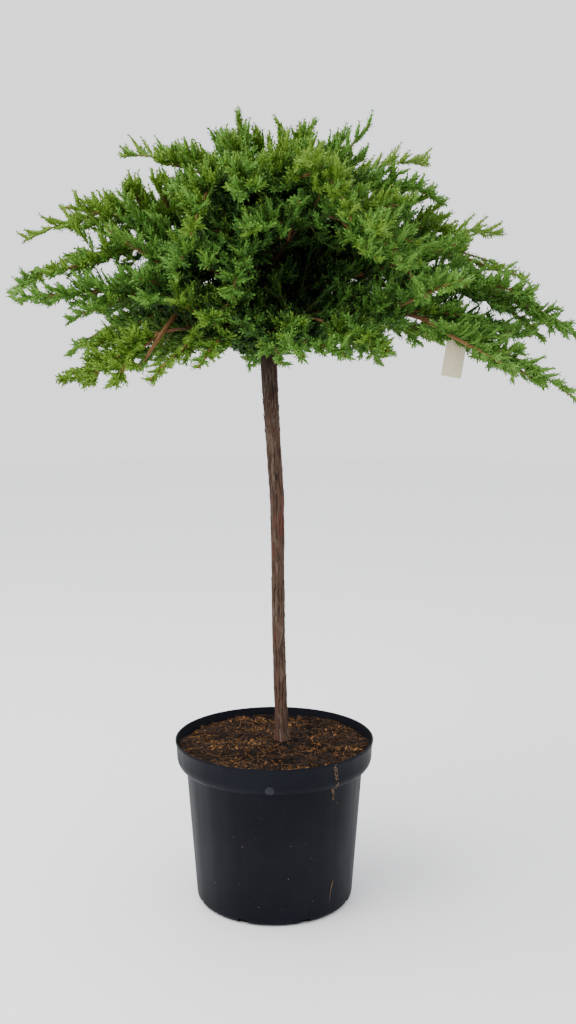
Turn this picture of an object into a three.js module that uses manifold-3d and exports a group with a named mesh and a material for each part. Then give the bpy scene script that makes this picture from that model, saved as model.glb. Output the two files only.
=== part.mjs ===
// A creeping Japanese garden juniper grafted as a small standard, in its black nursery pot.
// Millimetres, +Z up. The origin is the centre of the pot's flat underside.

import * as THREE from "three";
import { mergeVertices } from "three/addons/utils/BufferGeometryUtils.js";
import Module from "manifold-3d";

const wasm = await Module();
wasm.setup();

// Gap left between pieces that rest on each other
const CLEAR = 0.3;
// Vertices closer than this are joined in a mass
const SIMPLIFY = 0.1;

// Pot: outer radii and heights, with a tall collar that steps out from a tapered body
const POT_HEIGHT = 241;
const POT_RIM_RADIUS = 145.5;
const POT_COLLAR_FOOT_RADIUS = 141.5;
const POT_COLLAR_HEIGHT = 42;
const POT_BODY_TOP_RADIUS = 129.5;
const POT_BASE_RADIUS = 115.5;
const POT_EDGE_ROUNDING = 9;
const POT_WALL = 2;
const POT_FLOOR = 3;
const POT_LIP = 3;
const POT_SIDES = 28;
const DRAIN_COUNT = 8;
const DRAIN_WIDTH = 14;
const DRAIN_HEIGHT = 8;
const DRAIN_DROP = 0.5;

// Soil: a low mound with a level spot under the trunk
const SOIL_GAP = 0.33;
const SOIL_AT_WALL = 228;
const GROUND = 236;
const SOIL_SPOT_RADIUS = 27;
const SOIL_RINGS = [
  [100, 231],
  [62, 233],
];
const SOIL_BUMP = 1.1;

// Trunk: height, middle in x and y, and radius, from the flat cut at the ground to the tip
const TRUNK = [
  [236, 11.5, 0, 11.5],
  [250, 11, 0.5, 10],
  [290, 9.5, 1.5, 9.2],
  [385, 6.5, 3, 9.3],
  [500, 5.5, 0, 9.5],
  [590, 4.5, -2, 10],
  [680, -1.5, -0.5, 10.6],
  [780, -7, 1.5, 11.5],
  [850, -10, 1, 9.5],
  [930, -11.5, 0.5, 6.8],
  [1035, -12, 3, 2.8],
];
const TRUNK_SIDES = 10;
const FLARE_LOBES = 4;
const FLARE_DEPTH = 0.16;
const FLARE_FADE = 16;

// Boughs: azimuth and sweep in degrees (0 is +X, 270 is the front), then where each leaves the trunk,
// how far out its tip lies, the height that pulls its arch up, and the height of its tip
const BOUGHS = [
  { name: "left_low_back", azimuth: 156, sweep: 8, base: 812, reach: 330, crest: 915, tip: 800 },
  { name: "left_low_front", azimuth: 218, sweep: -12, base: 845, reach: 325, crest: 850, tip: 765 },
  { name: "front_left_low", azimuth: 244, sweep: 4, base: 822, reach: 180, crest: 912, tip: 835 },
  { name: "front_low", azimuth: 270, sweep: 8, base: 800, reach: 200, crest: 860, tip: 785 },
  { name: "front_right_low", azimuth: 304, sweep: 8, base: 818, reach: 235, crest: 880, tip: 800 },
  { name: "right_low", azimuth: 334, sweep: 6, base: 840, reach: 443, crest: 903, tip: 727 },
  { name: "right_low_back", azimuth: 24, sweep: 0, base: 822, reach: 277, crest: 890, tip: 813 },
  { name: "back_low_right", azimuth: 58, sweep: 0, base: 803, reach: 330, crest: 900, tip: 780 },
  { name: "back_low", azimuth: 92, sweep: 0, base: 820, reach: 340, crest: 900, tip: 770 },
  { name: "back_low_left", azimuth: 126, sweep: 0, base: 800, reach: 330, crest: 900, tip: 780 },
  { name: "left_inner", azimuth: 196, sweep: 0, base: 832, reach: 290, crest: 935, tip: 838 },
  { name: "left_mid", azimuth: 182, sweep: -8, base: 860, reach: 373, crest: 1022, tip: 879 },
  { name: "front_arch", azimuth: 240, sweep: -50, base: 915, reach: 187, crest: 1010, tip: 909 },
  { name: "front_right_arch", azimuth: 306, sweep: 10, base: 905, reach: 291, crest: 1066, tip: 866 },
  { name: "right_long", azimuth: 350, sweep: -6, base: 865, reach: 430, crest: 978, tip: 815 },
  { name: "right_mid", azimuth: 6, sweep: 6, base: 888, reach: 375, crest: 1015, tip: 899 },
  { name: "back_mid_right", azimuth: 44, sweep: 0, base: 853, reach: 360, crest: 990, tip: 900 },
  { name: "back_mid", azimuth: 76, sweep: 0, base: 882, reach: 360, crest: 1000, tip: 890 },
  { name: "back_mid_left", azimuth: 112, sweep: 0, base: 868, reach: 360, crest: 1000, tip: 900 },
  { name: "left_high", azimuth: 166, sweep: 10, base: 905, reach: 367, crest: 1060, tip: 958 },
  { name: "right_high", azimuth: 14, sweep: 0, base: 925, reach: 347, crest: 993, tip: 971 },
  { name: "back_up_left", azimuth: 135, sweep: 0, base: 930, reach: 270, crest: 1070, tip: 1000 },
  { name: "left_top", azimuth: 158, sweep: 0, base: 967, reach: 240, crest: 1094, tip: 1083 },
  { name: "right_top", azimuth: 350, sweep: 0, base: 950, reach: 237, crest: 1080, tip: 999 },
  { name: "back_up", azimuth: 96, sweep: 0, base: 945, reach: 250, crest: 1080, tip: 1020 },
  { name: "up_front_left", azimuth: 228, sweep: 0, base: 955, reach: 163, crest: 1084, tip: 986 },
  { name: "up_front", azimuth: 262, sweep: -10, base: 980, reach: 200, crest: 1060, tip: 990 },
  { name: "up_front_right", azimuth: 296, sweep: 0, base: 962, reach: 225, crest: 1127, tip: 960 },
  { name: "right_top_back", azimuth: 30, sweep: 0, base: 975, reach: 267, crest: 1085, tip: 1077 },
  { name: "top_right", azimuth: 330, sweep: 0, base: 1000, reach: 149, crest: 1030, tip: 1099 },
  { name: "top_mid", azimuth: 60, sweep: 0, base: 1014, reach: 122, crest: 1059, tip: 1137 },
  { name: "top_left", azimuth: 215, sweep: 0, base: 1002, reach: 61, crest: 1030, tip: 1124 },
];
// Bare boughs reach from the trunk to this share of their length, and foliage takes over there.
// Above the height BARE_BELOW foliage starts at the trunk itself.
const BARE_SHARE = 0.2;
const BARE_BELOW = 953;
const BOUGH_SIDES = 5;
const BOUGH_STEPS = 4;
const BOUGH_THICKNESS = 1.8;
const BOUGH_THICKNESS_PER_REACH = 0.006;
const BOUGH_SHARE_OF_TRUNK = 0.45;
const TIP_RADIUS = 0.9;
const SEAT_GAP = 0.6;
const SEAT_DEPTH = 3;
const SEAT_TURNS = 20;

// Crown outline: highest at the middle, falling by the square of the distance out
const CROWN_TOP = 1142;
const CROWN_FALL = 0.00155;

// Each mass keeps this much nearer to its own stem than to any other, and this far off bare limbs
const SPACE_MARGIN = 5;
const LIMB_MARGIN = 1.2;
const CORE_LIMB_GAP = 6;
const STEM_SAMPLES = 24;
const LIMB_SAMPLES = 12;
const TRUNK_SAMPLE = 8;

// Stem of a mass and the side twigs on it, which shorten towards the tip
const STEM_SIDES = 3;
const STEM_STEPS = 7;
const STEM_END = 0.93;
const TWIG_SPACING = 49;
const TWIG_LENGTH = 52;
const TWIG_RADIUS = 1.5;
const TWIG_FIRST = 0.35;
const TWIG_TAPER = 0.6;
const TWIG_ANGLE = [48, 66];
const TWIG_LIFT = [-15, 60];
const UPRIGHT_ANGLE = 52;
const UPRIGHT_LIFT = [10, 80];
const FADE_TO_TIP = 0.4;
// A shoot that doesn't fit its space is tried again at these shares of its size
const GROWTH_SIZES = [1, 0.8, 0.62];

// Spray: a slim three-sided core with six pointed fingers, as shares of its length
const SPRAY_LENGTH = 108;
const SPRAY_ROOT = -0.04;
const SPRAY_ON_TWIG = 0.85;
const SPRAY_RINGS = [
  { at: 0.2, radius: 0.085 },
  { at: 0.6, radius: 0.06 },
];
const FINGER_REACH = 0.2;
const FINGER_LEAN = 0.17;
const TIP_SPRAY_FROM = 0.8;

// Core of dense growth round each stem, toothed like the sprays that stand out of it
const CORE_RADIUS = 50;
const CORE_INNER = 0.45;
const CORE_SPACING = 42;
const CORE_START = 0.04;
const CORE_END = 0.84;
const CORE_SIDES = 8;
const CORE_LEAST = 4;
const CORE_REACH_STEP = 4;
const CORE_LEAN = 0.4;
const CORE_SWELL = [0.22, 0.84];

// Hang tag: a blank card on a small ring round the long low bough on the right
const TAG_BOUGH = "right_low";
const TAG_STEP = 4;
const TAG_SHARE = BARE_SHARE + ((STEM_END - BARE_SHARE) * TAG_STEP) / STEM_STEPS;
const TAG_WIDTH = 27;
const TAG_HEIGHT = 52;
const TAG_THICKNESS = 0.8;
const TAG_RING_WIDTH = 2;
const TAG_RING_WALL = 1.6;
const TAG_RING_CLEAR = 0.42;
const TAG_TILT = 9;
const TAG_YAW = 6;
const TAG_SPACE = [33, 12, 70];

const UP = new THREE.Vector3(0, 0, 1);
const radians = THREE.MathUtils.degToRad;

// The same number between 0 and 1 for the same keys, every time
function chance(a, b = 0, c = 0) {
  const wave = Math.sin(a * 127.1 + b * 311.7 + c * 74.7) * 43758.5453;
  return wave - Math.floor(wave);
}

function spread([low, high], a, b, c) {
  return low + (high - low) * chance(a, b, c);
}

// A value of the trunk at a height, read between the rows of its table
function trunkValue(height, column) {
  const above = TRUNK.findIndex((row) => row[0] >= height);
  const next = above < 0 ? TRUNK.length - 1 : Math.max(1, above);
  const [low, high] = [TRUNK[next - 1], TRUNK[next]];
  const share = THREE.MathUtils.clamp((height - low[0]) / (high[0] - low[0]), 0, 1);
  return THREE.MathUtils.lerp(low[column], high[column], share);
}

// A closed solid from a three.js geometry
function solidOf(geometry) {
  geometry.deleteAttribute("normal");
  geometry.deleteAttribute("uv");
  const merged = mergeVertices(geometry, 1e-4);
  const corners = [];
  for (let i = 0; i < merged.index.count; i += 3) {
    const face = [merged.index.getX(i), merged.index.getX(i + 1), merged.index.getX(i + 2)];
    if (new Set(face).size === 3) corners.push(...face);
  }
  const vertProperties = merged.attributes.position.array;
  return new wasm.Manifold(new wasm.Mesh({ numProp: 3, vertProperties, triVerts: new Uint32Array(corners) }));
}

// A closed solid from points and the three corners of each face
function solidFromFaces(points, faces) {
  const geometry = new THREE.BufferGeometry().setFromPoints(points);
  geometry.setIndex(faces.flat());
  return solidOf(geometry);
}

function meshOf(name, solid, material) {
  const made = solid.getMesh();
  const geometry = new THREE.BufferGeometry();
  geometry.setAttribute("position", new THREE.BufferAttribute(new Float32Array(made.vertProperties), 3));
  geometry.setIndex(new THREE.BufferAttribute(new Uint32Array(made.triVerts), 1));
  geometry.computeVertexNormals();
  const mesh = new THREE.Mesh(geometry, material);
  mesh.name = name;
  return mesh;
}

// Rings of points joined in a closed skin, with a cap at each end
function skinSolid(rings) {
  const sides = rings[0].length;
  const points = rings.flat();
  const faces = [];
  for (let ring = 0; ring + 1 < rings.length; ring += 1) {
    for (let side = 0; side < sides; side += 1) {
      const a = ring * sides + side;
      const b = ring * sides + ((side + 1) % sides);
      faces.push([a, b, b + sides], [a, b + sides, a + sides]);
    }
  }
  const last = (rings.length - 1) * sides;
  for (let side = 1; side + 1 < sides; side += 1) {
    faces.push([0, side + 1, side], [last, last + side, last + side + 1]);
  }
  return solidFromFaces(points, faces);
}

// Ring of points round a place on a path, square to its direction
function ringRound(centre, direction, radius, sides) {
  const across = new THREE.Vector3().crossVectors(direction, UP).normalize();
  const lift = new THREE.Vector3().crossVectors(across, direction);
  const ring = [];
  for (let side = 0; side < sides; side += 1) {
    const turn = (side / sides) * 2 * Math.PI + Math.PI / 2;
    const offset = across.clone().multiplyScalar(Math.cos(turn)).addScaledVector(lift, -Math.sin(turn));
    ring.push(centre.clone().addScaledVector(offset, radius));
  }
  return ring;
}

function trunkCentre(height) {
  return new THREE.Vector3(trunkValue(height, 1), trunkValue(height, 2), height);
}

const trunkRadius = (height) => trunkValue(height, 3);

// How far a place lies from the trunk's skin, measured level
function offTrunk(place) {
  const centre = trunkCentre(place.z);
  return Math.hypot(place.x - centre.x, place.y - centre.y) - trunkRadius(place.z);
}

function trunkSolid(extra = 0) {
  const rings = TRUNK.map(([height, x, y, thick]) => {
    const flare = FLARE_DEPTH * Math.exp((GROUND - height) / FLARE_FADE);
    const ring = [];
    for (let side = 0; side < TRUNK_SIDES; side += 1) {
      const turn = (side / TRUNK_SIDES) * 2 * Math.PI;
      const radius = thick * (1 + flare * Math.cos(turn * FLARE_LOBES)) + extra;
      ring.push(new THREE.Vector3(x + radius * Math.cos(turn), y + radius * Math.sin(turn), height));
    }
    return ring;
  });
  return skinSolid(rings);
}

// A place on a bough: 0 is the middle of the trunk and 1 is the tip
function boughPoint(bough, share) {
  const turn = radians(bough.azimuth + bough.sweep * (share - 0.5));
  const start = trunkCentre(bough.base);
  const rest = 1 - share;
  return new THREE.Vector3(
    start.x * rest + bough.reach * share * Math.cos(turn),
    start.y * rest + bough.reach * share * Math.sin(turn),
    rest * rest * bough.base + 2 * share * rest * bough.crest + share * share * bough.tip,
  );
}

function boughDirection(bough, share) {
  const step = 0.01;
  return boughPoint(bough, share + step).sub(boughPoint(bough, share - step)).normalize();
}

function boughRadius(bough, share) {
  const full = BOUGH_THICKNESS + BOUGH_THICKNESS_PER_REACH * bough.reach;
  const thick = Math.min(full, BOUGH_SHARE_OF_TRUNK * trunkRadius(bough.base));
  return thick + (TIP_RADIUS - thick) * share ** 0.8;
}

const isBare = (bough) => bough.base < BARE_BELOW;

// The share of the bough at which its middle is this far off the trunk
function shareOffTrunk(bough, distance) {
  let share = 0;
  while (offTrunk(boughPoint(bough, share)) < distance) share += 0.0005;
  return share;
}

// The end ring pulled back along the bough until it follows the round of the trunk
function seatOnTrunk(ring, direction) {
  return ring.map((point) => {
    const seat = point.clone();
    for (let turn = 0; turn < SEAT_TURNS; turn += 1) {
      seat.addScaledVector(direction, SEAT_GAP - offTrunk(seat));
    }
    return seat;
  });
}

// A length of a bough between two shares, seated on the trunk where it starts there
function limbSolid(bough, from, to, sides, steps, { seated = false, extra = 0 } = {}) {
  const rings = [];
  for (let step = 0; step <= steps; step += 1) {
    const share = from + ((to - from) * step) / steps;
    const radius = boughRadius(bough, share) + extra;
    const ring = ringRound(boughPoint(bough, share), boughDirection(bough, share), radius, sides);
    rings.push(step === 0 && seated ? seatOnTrunk(ring, boughDirection(bough, share)) : ring);
  }
  return skinSolid(rings);
}

const stemStart = (bough) => (isBare(bough) ? BARE_SHARE : shareOffTrunk(bough, SEAT_DEPTH));

function boughSolid(bough, extra = 0) {
  const half = CLEAR / 2 / bough.reach;
  const from = shareOffTrunk(bough, SEAT_DEPTH);
  return limbSolid(bough, from, BARE_SHARE - half, BOUGH_SIDES, BOUGH_STEPS, { seated: true, extra });
}

function stemSolid(bough) {
  const half = CLEAR / 2 / bough.reach;
  const from = isBare(bough) ? BARE_SHARE + half : stemStart(bough);
  return limbSolid(bough, from, STEM_END, STEM_SIDES, STEM_STEPS, { seated: !isBare(bough) });
}

// Places along each stem: a mass owns what lies nearer to its own stem than to any other
const stemLines = BOUGHS.map((bough) => {
  const start = stemStart(bough);
  const places = [];
  for (let step = 0; step <= STEM_SAMPLES; step += 1) {
    places.push(boughPoint(bough, THREE.MathUtils.lerp(start, 1, step / STEM_SAMPLES)));
  }
  return places;
});

// Places along the bare boughs and the trunk, each with the thickness there
const limbPlaces = BOUGHS.filter(isBare).flatMap((bough) => {
  const places = [];
  for (let step = 0; step <= LIMB_SAMPLES; step += 1) {
    const share = (BARE_SHARE * step) / LIMB_SAMPLES;
    places.push({ point: boughPoint(bough, share), radius: boughRadius(bough, share) });
  }
  return places;
});
for (let height = GROUND; height <= TRUNK.at(-1)[0]; height += TRUNK_SAMPLE) {
  limbPlaces.push({ point: trunkCentre(height), radius: trunkRadius(height) });
}

const offLimbs = (place) => limbPlaces.every(
  ({ point, radius }) => point.distanceTo(place) > radius + CORE_LIMB_GAP,
);

function distanceToLine(point, line) {
  return Math.min(...line.map((sample) => sample.distanceTo(point)));
}

const insideCrown = (point) => point.z < CROWN_TOP - CROWN_FALL * (point.x ** 2 + point.y ** 2);

function inOwnSpace(point, index) {
  const own = distanceToLine(point, stemLines[index]);
  const isOwn = (line, other) => other === index || distanceToLine(point, line) > own + SPACE_MARGIN;
  return insideCrown(point) && stemLines.every(isOwn);
}

// How far a mass may reach from a place on its stem before it leaves its space or nears a limb
function freeReach(centre, direction, most, index) {
  let reach = CORE_LEAST;
  const isFree = (at) => {
    const point = centre.clone().addScaledVector(direction, at);
    return inOwnSpace(point, index) && offLimbs(point);
  };
  while (reach + CORE_REACH_STEP <= most && isFree(reach + CORE_REACH_STEP)) reach += CORE_REACH_STEP;
  return reach;
}

function joined(solids) {
  return solids.reduce((sum, solid) => sum.add(solid));
}

// The largest body of a joined solid, with loose scraps dropped and sealed hollows filled
function largestBody(solid) {
  const bodies = solid.decompose();
  return bodies.reduce((best, body) => (body.volume() > best.volume() ? body : best));
}

// Two directions square to a third, turned about it
function squareTo(along, turn) {
  const across = new THREE.Vector3().crossVectors(along, UP).normalize().applyAxisAngle(along, turn);
  return [across, new THREE.Vector3().crossVectors(across, along)];
}

// A spray of needles: a slim three-sided core with a pointed finger on each face of its middle
function spraySolid(root, along, length, turn) {
  const [across, lift] = squareTo(along, turn);
  const place = (share, radius, angle) => root
    .clone()
    .addScaledVector(along, share * length)
    .addScaledVector(across, radius * length * Math.cos(angle))
    .addScaledVector(lift, radius * length * Math.sin(angle));
  const points = [place(SPRAY_ROOT, 0, 0)];
  SPRAY_RINGS.forEach(({ at, radius }, ring) => {
    for (let side = 0; side < 3; side += 1) {
      points.push(place(at, radius, (-(side * 2 + ring) * Math.PI) / 3));
    }
  });
  points.push(place(1, 0, 0));
  const faces = [];
  const grow = (a, b, c) => {
    const middle = points[a].clone().add(points[b]).add(points[c]).divideScalar(3);
    const out = points[b].clone().sub(points[a]).cross(points[c].clone().sub(points[a])).normalize();
    middle.addScaledVector(out, FINGER_REACH * length).addScaledVector(along, FINGER_LEAN * length);
    const tip = points.push(middle) - 1;
    faces.push([a, b, tip], [b, c, tip], [c, a, tip]);
  };
  for (let side = 0; side < 3; side += 1) {
    const next = (side + 1) % 3;
    faces.push([0, 1 + next, 1 + side], [7, 4 + side, 4 + next]);
    grow(1 + side, 1 + next, 4 + side);
    grow(4 + side, 1 + next, 4 + next);
  }
  return { solid: solidFromFaces(points, faces), points };
}

// The core round a stem: rings whose points stand out and in by turns, as thick as the space allows
function coreSolid(bough, index, from) {
  const length = bough.reach * (CORE_END - from);
  const count = Math.max(3, Math.round(length / CORE_SPACING));
  const points = [boughPoint(bough, from)];
  for (let ring = 0; ring < count; ring += 1) {
    const share = THREE.MathUtils.lerp(from, CORE_END, (ring + 0.5) / count);
    const centre = boughPoint(bough, share);
    const along = boughDirection(bough, share);
    const [across, lift] = squareTo(along, chance(index, ring, 7));
    const swell = Math.sin(Math.PI * THREE.MathUtils.lerp(...CORE_SWELL, (ring + 0.5) / count));
    for (let side = 0; side < CORE_SIDES; side += 1) {
      const angle = (-side * 2 * Math.PI) / CORE_SIDES;
      const isTooth = (side + ring) % 2 === 0;
      const out = across.clone().multiplyScalar(Math.cos(angle)).addScaledVector(lift, Math.sin(angle));
      if (isTooth) out.addScaledVector(along, CORE_LEAN).normalize();
      const most = CORE_RADIUS * swell * (isTooth ? 1 : CORE_INNER);
      points.push(centre.clone().addScaledVector(out, freeReach(centre, out, most, index)));
    }
  }
  points.push(boughPoint(bough, CORE_END));
  return solidFromFaces(points, coreFaces(count, points.length - 1));
}

function coreFaces(count, tip) {
  const faces = [];
  for (let side = 0; side < CORE_SIDES; side += 1) {
    const next = (side + 1) % CORE_SIDES;
    faces.push([0, 1 + next, 1 + side]);
    for (let ring = 0; ring + 1 < count; ring += 1) {
      const near = 1 + ring * CORE_SIDES;
      const far = near + CORE_SIDES;
      const [a, b, c, d] = [near + side, near + next, far + next, far + side];
      faces.push(...((side + ring) % 2 === 0 ? [[a, b, d], [b, c, d]] : [[a, b, c], [a, c, d]]));
    }
    const last = 1 + (count - 1) * CORE_SIDES;
    faces.push([last + side, last + next, tip]);
  }
  return faces;
}

// A side twig: a thin three-sided taper
function twigSolid(root, along, length) {
  const tip = root.clone().addScaledVector(along, length);
  const rings = [ringRound(root, along, TWIG_RADIUS, 3), ringRound(tip, along, TWIG_RADIUS * TWIG_TAPER, 3)];
  return { solid: skinSolid(rings), points: [tip], tip };
}

// The direction of a side shoot that leaves its parent at an angle, turned about it and lifted
function shootDirection(parent, side, angle, lift) {
  const across = new THREE.Vector3().crossVectors(parent, UP).normalize().multiplyScalar(side);
  return parent
    .clone()
    .multiplyScalar(Math.cos(angle))
    .addScaledVector(across, Math.sin(angle) * Math.cos(lift))
    .addScaledVector(UP, Math.sin(angle) * Math.sin(lift))
    .normalize();
}

// One mass of foliage, grown from its stem and kept to its own space
function massSolid(bough, index, limbs) {
  const start = stemStart(bough);
  const parts = [stemSolid(bough), coreSolid(bough, index, start + CORE_START).subtract(tagSpace())];
  const fits = ({ solid, points }) => points.every((point) => inOwnSpace(point, index))
    && solid.intersect(limbs).isEmpty();
  const grow = (make) => {
    for (const size of GROWTH_SIZES) {
      const piece = make(size);
      if (fits(piece)) {
        parts.push(piece.solid);
        return piece;
      }
    }
    return null;
  };
  const growSpray = (root, along, length, key) => {
    const turn = 2 * Math.PI * chance(index, key, 3);
    grow((size) => spraySolid(root, along, length * size, turn));
  };

  const twigs = Math.max(3, Math.round((bough.reach * (1 - start)) / TWIG_SPACING));
  for (let k = 0; k < twigs; k += 1) {
    const share = THREE.MathUtils.lerp(start, STEM_END, (k + TWIG_FIRST) / twigs);
    const root = boughPoint(bough, share);
    const parent = boughDirection(bough, share);
    const fade = 1 - (FADE_TO_TIP * k) / twigs;
    const side = k % 2 === 0 ? 1 : -1;
    const angle = radians(spread(TWIG_ANGLE, index, k, 2));
    const along = shootDirection(parent, side, angle, radians(spread(TWIG_LIFT, index, k, 1)));
    const twig = grow((size) => twigSolid(root, along, TWIG_LENGTH * fade * size));
    if (twig) growSpray(root.clone().lerp(twig.tip, SPRAY_ON_TWIG), along, SPRAY_LENGTH * fade, k + 60);
    const lift = radians(spread(UPRIGHT_LIFT, index, k, 4));
    const upright = shootDirection(parent, -side, radians(UPRIGHT_ANGLE), lift);
    growSpray(root, upright, SPRAY_LENGTH * fade, k + 80);
  }
  parts.push(tipSpray(bough, index));
  return largestBody(joined(parts)).simplify(SIMPLIFY);
}

// The last spray, whose point is the bough's own tip
function tipSpray(bough, index) {
  const root = boughPoint(bough, TIP_SPRAY_FROM);
  const last = boughPoint(bough, 1).sub(root);
  return spraySolid(root, last.clone().normalize(), last.length(), index).solid;
}

function potSolid() {
  const collarFoot = POT_HEIGHT - POT_COLLAR_HEIGHT;
  const profile = [new THREE.Vector2(0, 0), new THREE.Vector2(POT_BASE_RADIUS - POT_EDGE_ROUNDING, 0)];
  for (const turn of [30, 60, 90]) {
    const sine = Math.sin(radians(turn));
    const cosine = Math.cos(radians(turn));
    profile.push(new THREE.Vector2(
      POT_BASE_RADIUS - POT_EDGE_ROUNDING * (1 - sine),
      POT_EDGE_ROUNDING * (1 - cosine),
    ));
  }
  profile.push(
    new THREE.Vector2(POT_BODY_TOP_RADIUS, collarFoot),
    new THREE.Vector2(POT_COLLAR_FOOT_RADIUS, collarFoot),
    new THREE.Vector2(POT_RIM_RADIUS - 1, POT_HEIGHT - POT_LIP),
    new THREE.Vector2(POT_RIM_RADIUS, POT_HEIGHT),
    new THREE.Vector2(POT_RIM_RADIUS - POT_WALL, POT_HEIGHT),
    new THREE.Vector2(POT_COLLAR_FOOT_RADIUS - POT_WALL, collarFoot + POT_WALL),
    new THREE.Vector2(POT_BODY_TOP_RADIUS - POT_WALL, collarFoot + POT_WALL),
    new THREE.Vector2(POT_BASE_RADIUS - POT_WALL, POT_EDGE_ROUNDING),
    new THREE.Vector2(POT_BASE_RADIUS - POT_EDGE_ROUNDING, POT_FLOOR),
    new THREE.Vector2(0, POT_FLOOR),
  );
  const shell = solidOf(new THREE.LatheGeometry(profile, POT_SIDES).rotateX(Math.PI / 2));
  return drainSolids().reduce((rest, slot) => rest.subtract(slot), shell);
}

// Drain slots through the edge of the base
function drainSolids() {
  const slots = [];
  for (let k = 0; k < DRAIN_COUNT; k += 1) {
    const box = new THREE.BoxGeometry(POT_EDGE_ROUNDING * 2, DRAIN_WIDTH, DRAIN_HEIGHT);
    box.translate(POT_BASE_RADIUS, 0, DRAIN_HEIGHT / 2 - DRAIN_DROP);
    box.rotateZ(((k + 0.5) / DRAIN_COUNT) * 2 * Math.PI);
    slots.push(solidOf(box));
  }
  return slots;
}

// Low waves over the top of the soil
function soilBump(x, y) {
  return SOIL_BUMP * (Math.sin(x * 0.11 + 1.3) * Math.cos(y * 0.13) + Math.sin(x * 0.05 - y * 0.07));
}

function soilSolid() {
  const gap = SOIL_GAP;
  const wallAt = (height) => {
    const share = (height - POT_EDGE_ROUNDING) / (POT_HEIGHT - POT_COLLAR_HEIGHT - POT_EDGE_ROUNDING);
    return THREE.MathUtils.lerp(POT_BASE_RADIUS, POT_BODY_TOP_RADIUS, Math.min(share, 1)) - POT_WALL - gap;
  };
  const shelf = POT_HEIGHT - POT_COLLAR_HEIGHT + POT_WALL + gap;
  const collarSlope = (POT_RIM_RADIUS - POT_COLLAR_FOOT_RADIUS) / (POT_COLLAR_HEIGHT - POT_WALL);
  const collarAt = (height) => POT_COLLAR_FOOT_RADIUS - POT_WALL - gap + collarSlope * (height - shelf);
  const profile = [
    [0, POT_FLOOR + CLEAR],
    [POT_BASE_RADIUS - POT_EDGE_ROUNDING - gap, POT_FLOOR + CLEAR],
    [wallAt(POT_EDGE_ROUNDING), POT_EDGE_ROUNDING + CLEAR],
    [wallAt(shelf), shelf],
    [collarAt(shelf), shelf],
    [collarAt(SOIL_AT_WALL), SOIL_AT_WALL],
    ...SOIL_RINGS,
    [SOIL_SPOT_RADIUS, GROUND - CLEAR],
    [0, GROUND - CLEAR],
  ].map(([x, y]) => new THREE.Vector2(x, y));
  const geometry = new THREE.LatheGeometry(profile, POT_SIDES).rotateX(Math.PI / 2);
  const position = geometry.attributes.position;
  for (let i = 0; i < position.count; i += 1) {
    const distance = Math.hypot(position.getX(i), position.getY(i));
    const onTop = position.getZ(i) > SOIL_AT_WALL + 1 && distance > SOIL_SPOT_RADIUS + 1;
    if (onTop) position.setZ(i, position.getZ(i) + soilBump(position.getX(i), position.getY(i)));
  }
  return solidOf(geometry);
}

const tagBough = BOUGHS.find(({ name }) => name === TAG_BOUGH);

// The blank tag: a ring round the bough with the card hanging from it
function tagSolid() {
  const centre = boughPoint(tagBough, TAG_SHARE);
  const direction = boughDirection(tagBough, TAG_SHARE);
  const inner = boughRadius(tagBough, TAG_SHARE) + TAG_RING_CLEAR;
  const outer = inner + TAG_RING_WALL;
  const shape = new THREE.Shape().absarc(0, 0, outer, 0, 2 * Math.PI);
  shape.holes.push(new THREE.Path().absarc(0, 0, inner, 0, 2 * Math.PI, true));
  const depth = TAG_RING_WIDTH;
  const ring = new THREE.ExtrudeGeometry(shape, { depth, bevelEnabled: false, curveSegments: 5 });
  ring.translate(0, 0, -TAG_RING_WIDTH / 2);
  ring.applyQuaternion(new THREE.Quaternion().setFromUnitVectors(UP, direction));
  ring.translate(...centre.toArray());
  const card = new THREE.BoxGeometry(TAG_WIDTH, TAG_THICKNESS, TAG_HEIGHT);
  card.translate(0, 0, -TAG_HEIGHT / 2 - inner - TAG_RING_WALL * 0.4);
  return solidOf(ring).add(solidOf(hungTag(card, centre)));
}

function hungTag(geometry, centre) {
  return geometry.rotateY(radians(TAG_TILT)).rotateZ(radians(TAG_YAW)).translate(...centre.toArray());
}

// The space that foliage leaves free round the tag
function tagSpace() {
  const box = new THREE.BoxGeometry(...TAG_SPACE);
  box.translate(0, 0, -TAG_HEIGHT / 2);
  return solidOf(hungTag(box, boughPoint(tagBough, TAG_SHARE)));
}

function potPlastic() {
  return new THREE.MeshStandardMaterial({ color: 0x24272c, roughness: 0.48, metalness: 0 });
}

function peat() {
  return new THREE.MeshStandardMaterial({ color: 0x3b2517, roughness: 0.95, metalness: 0 });
}

function bark() {
  return new THREE.MeshStandardMaterial({ color: 0x6b4a38, roughness: 0.9, metalness: 0 });
}

function greenNeedles() {
  return new THREE.MeshStandardMaterial({ color: 0x4a7c26, roughness: 0.7, metalness: 0 });
}

function tagCard() {
  return new THREE.MeshStandardMaterial({ color: 0xcdbf9a, roughness: 0.8, metalness: 0 });
}

const group = new THREE.Group();
group.add(meshOf("pot", potSolid(), potPlastic()));
group.add(meshOf("soil", soilSolid(), peat()));
group.add(meshOf("trunk", trunkSolid(), bark()));
group.add(meshOf("hang_tag", tagSolid(), tagCard()));

const bareBoughs = BOUGHS.filter(isBare);
for (const bough of bareBoughs) {
  group.add(meshOf("bough_" + bough.name, boughSolid(bough), bark()));
}

const limbs = joined([
  trunkSolid(LIMB_MARGIN),
  tagSpace(),
  ...bareBoughs.map((bough) => boughSolid(bough, LIMB_MARGIN)),
]);
BOUGHS.forEach((bough, index) => {
  group.add(meshOf("foliage_" + bough.name, massSolid(bough, index, limbs), greenNeedles()));
});

export default group;
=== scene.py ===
"""The finished surfaces of a creeping juniper, grafted as a small standard, in its nursery pot.

Sizes are in millimetres up to the moment a mesh is made. The origin is the centre of the pot's
underside, +Z is up and the camera looks along +Y.
"""

from collections import namedtuple

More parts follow.
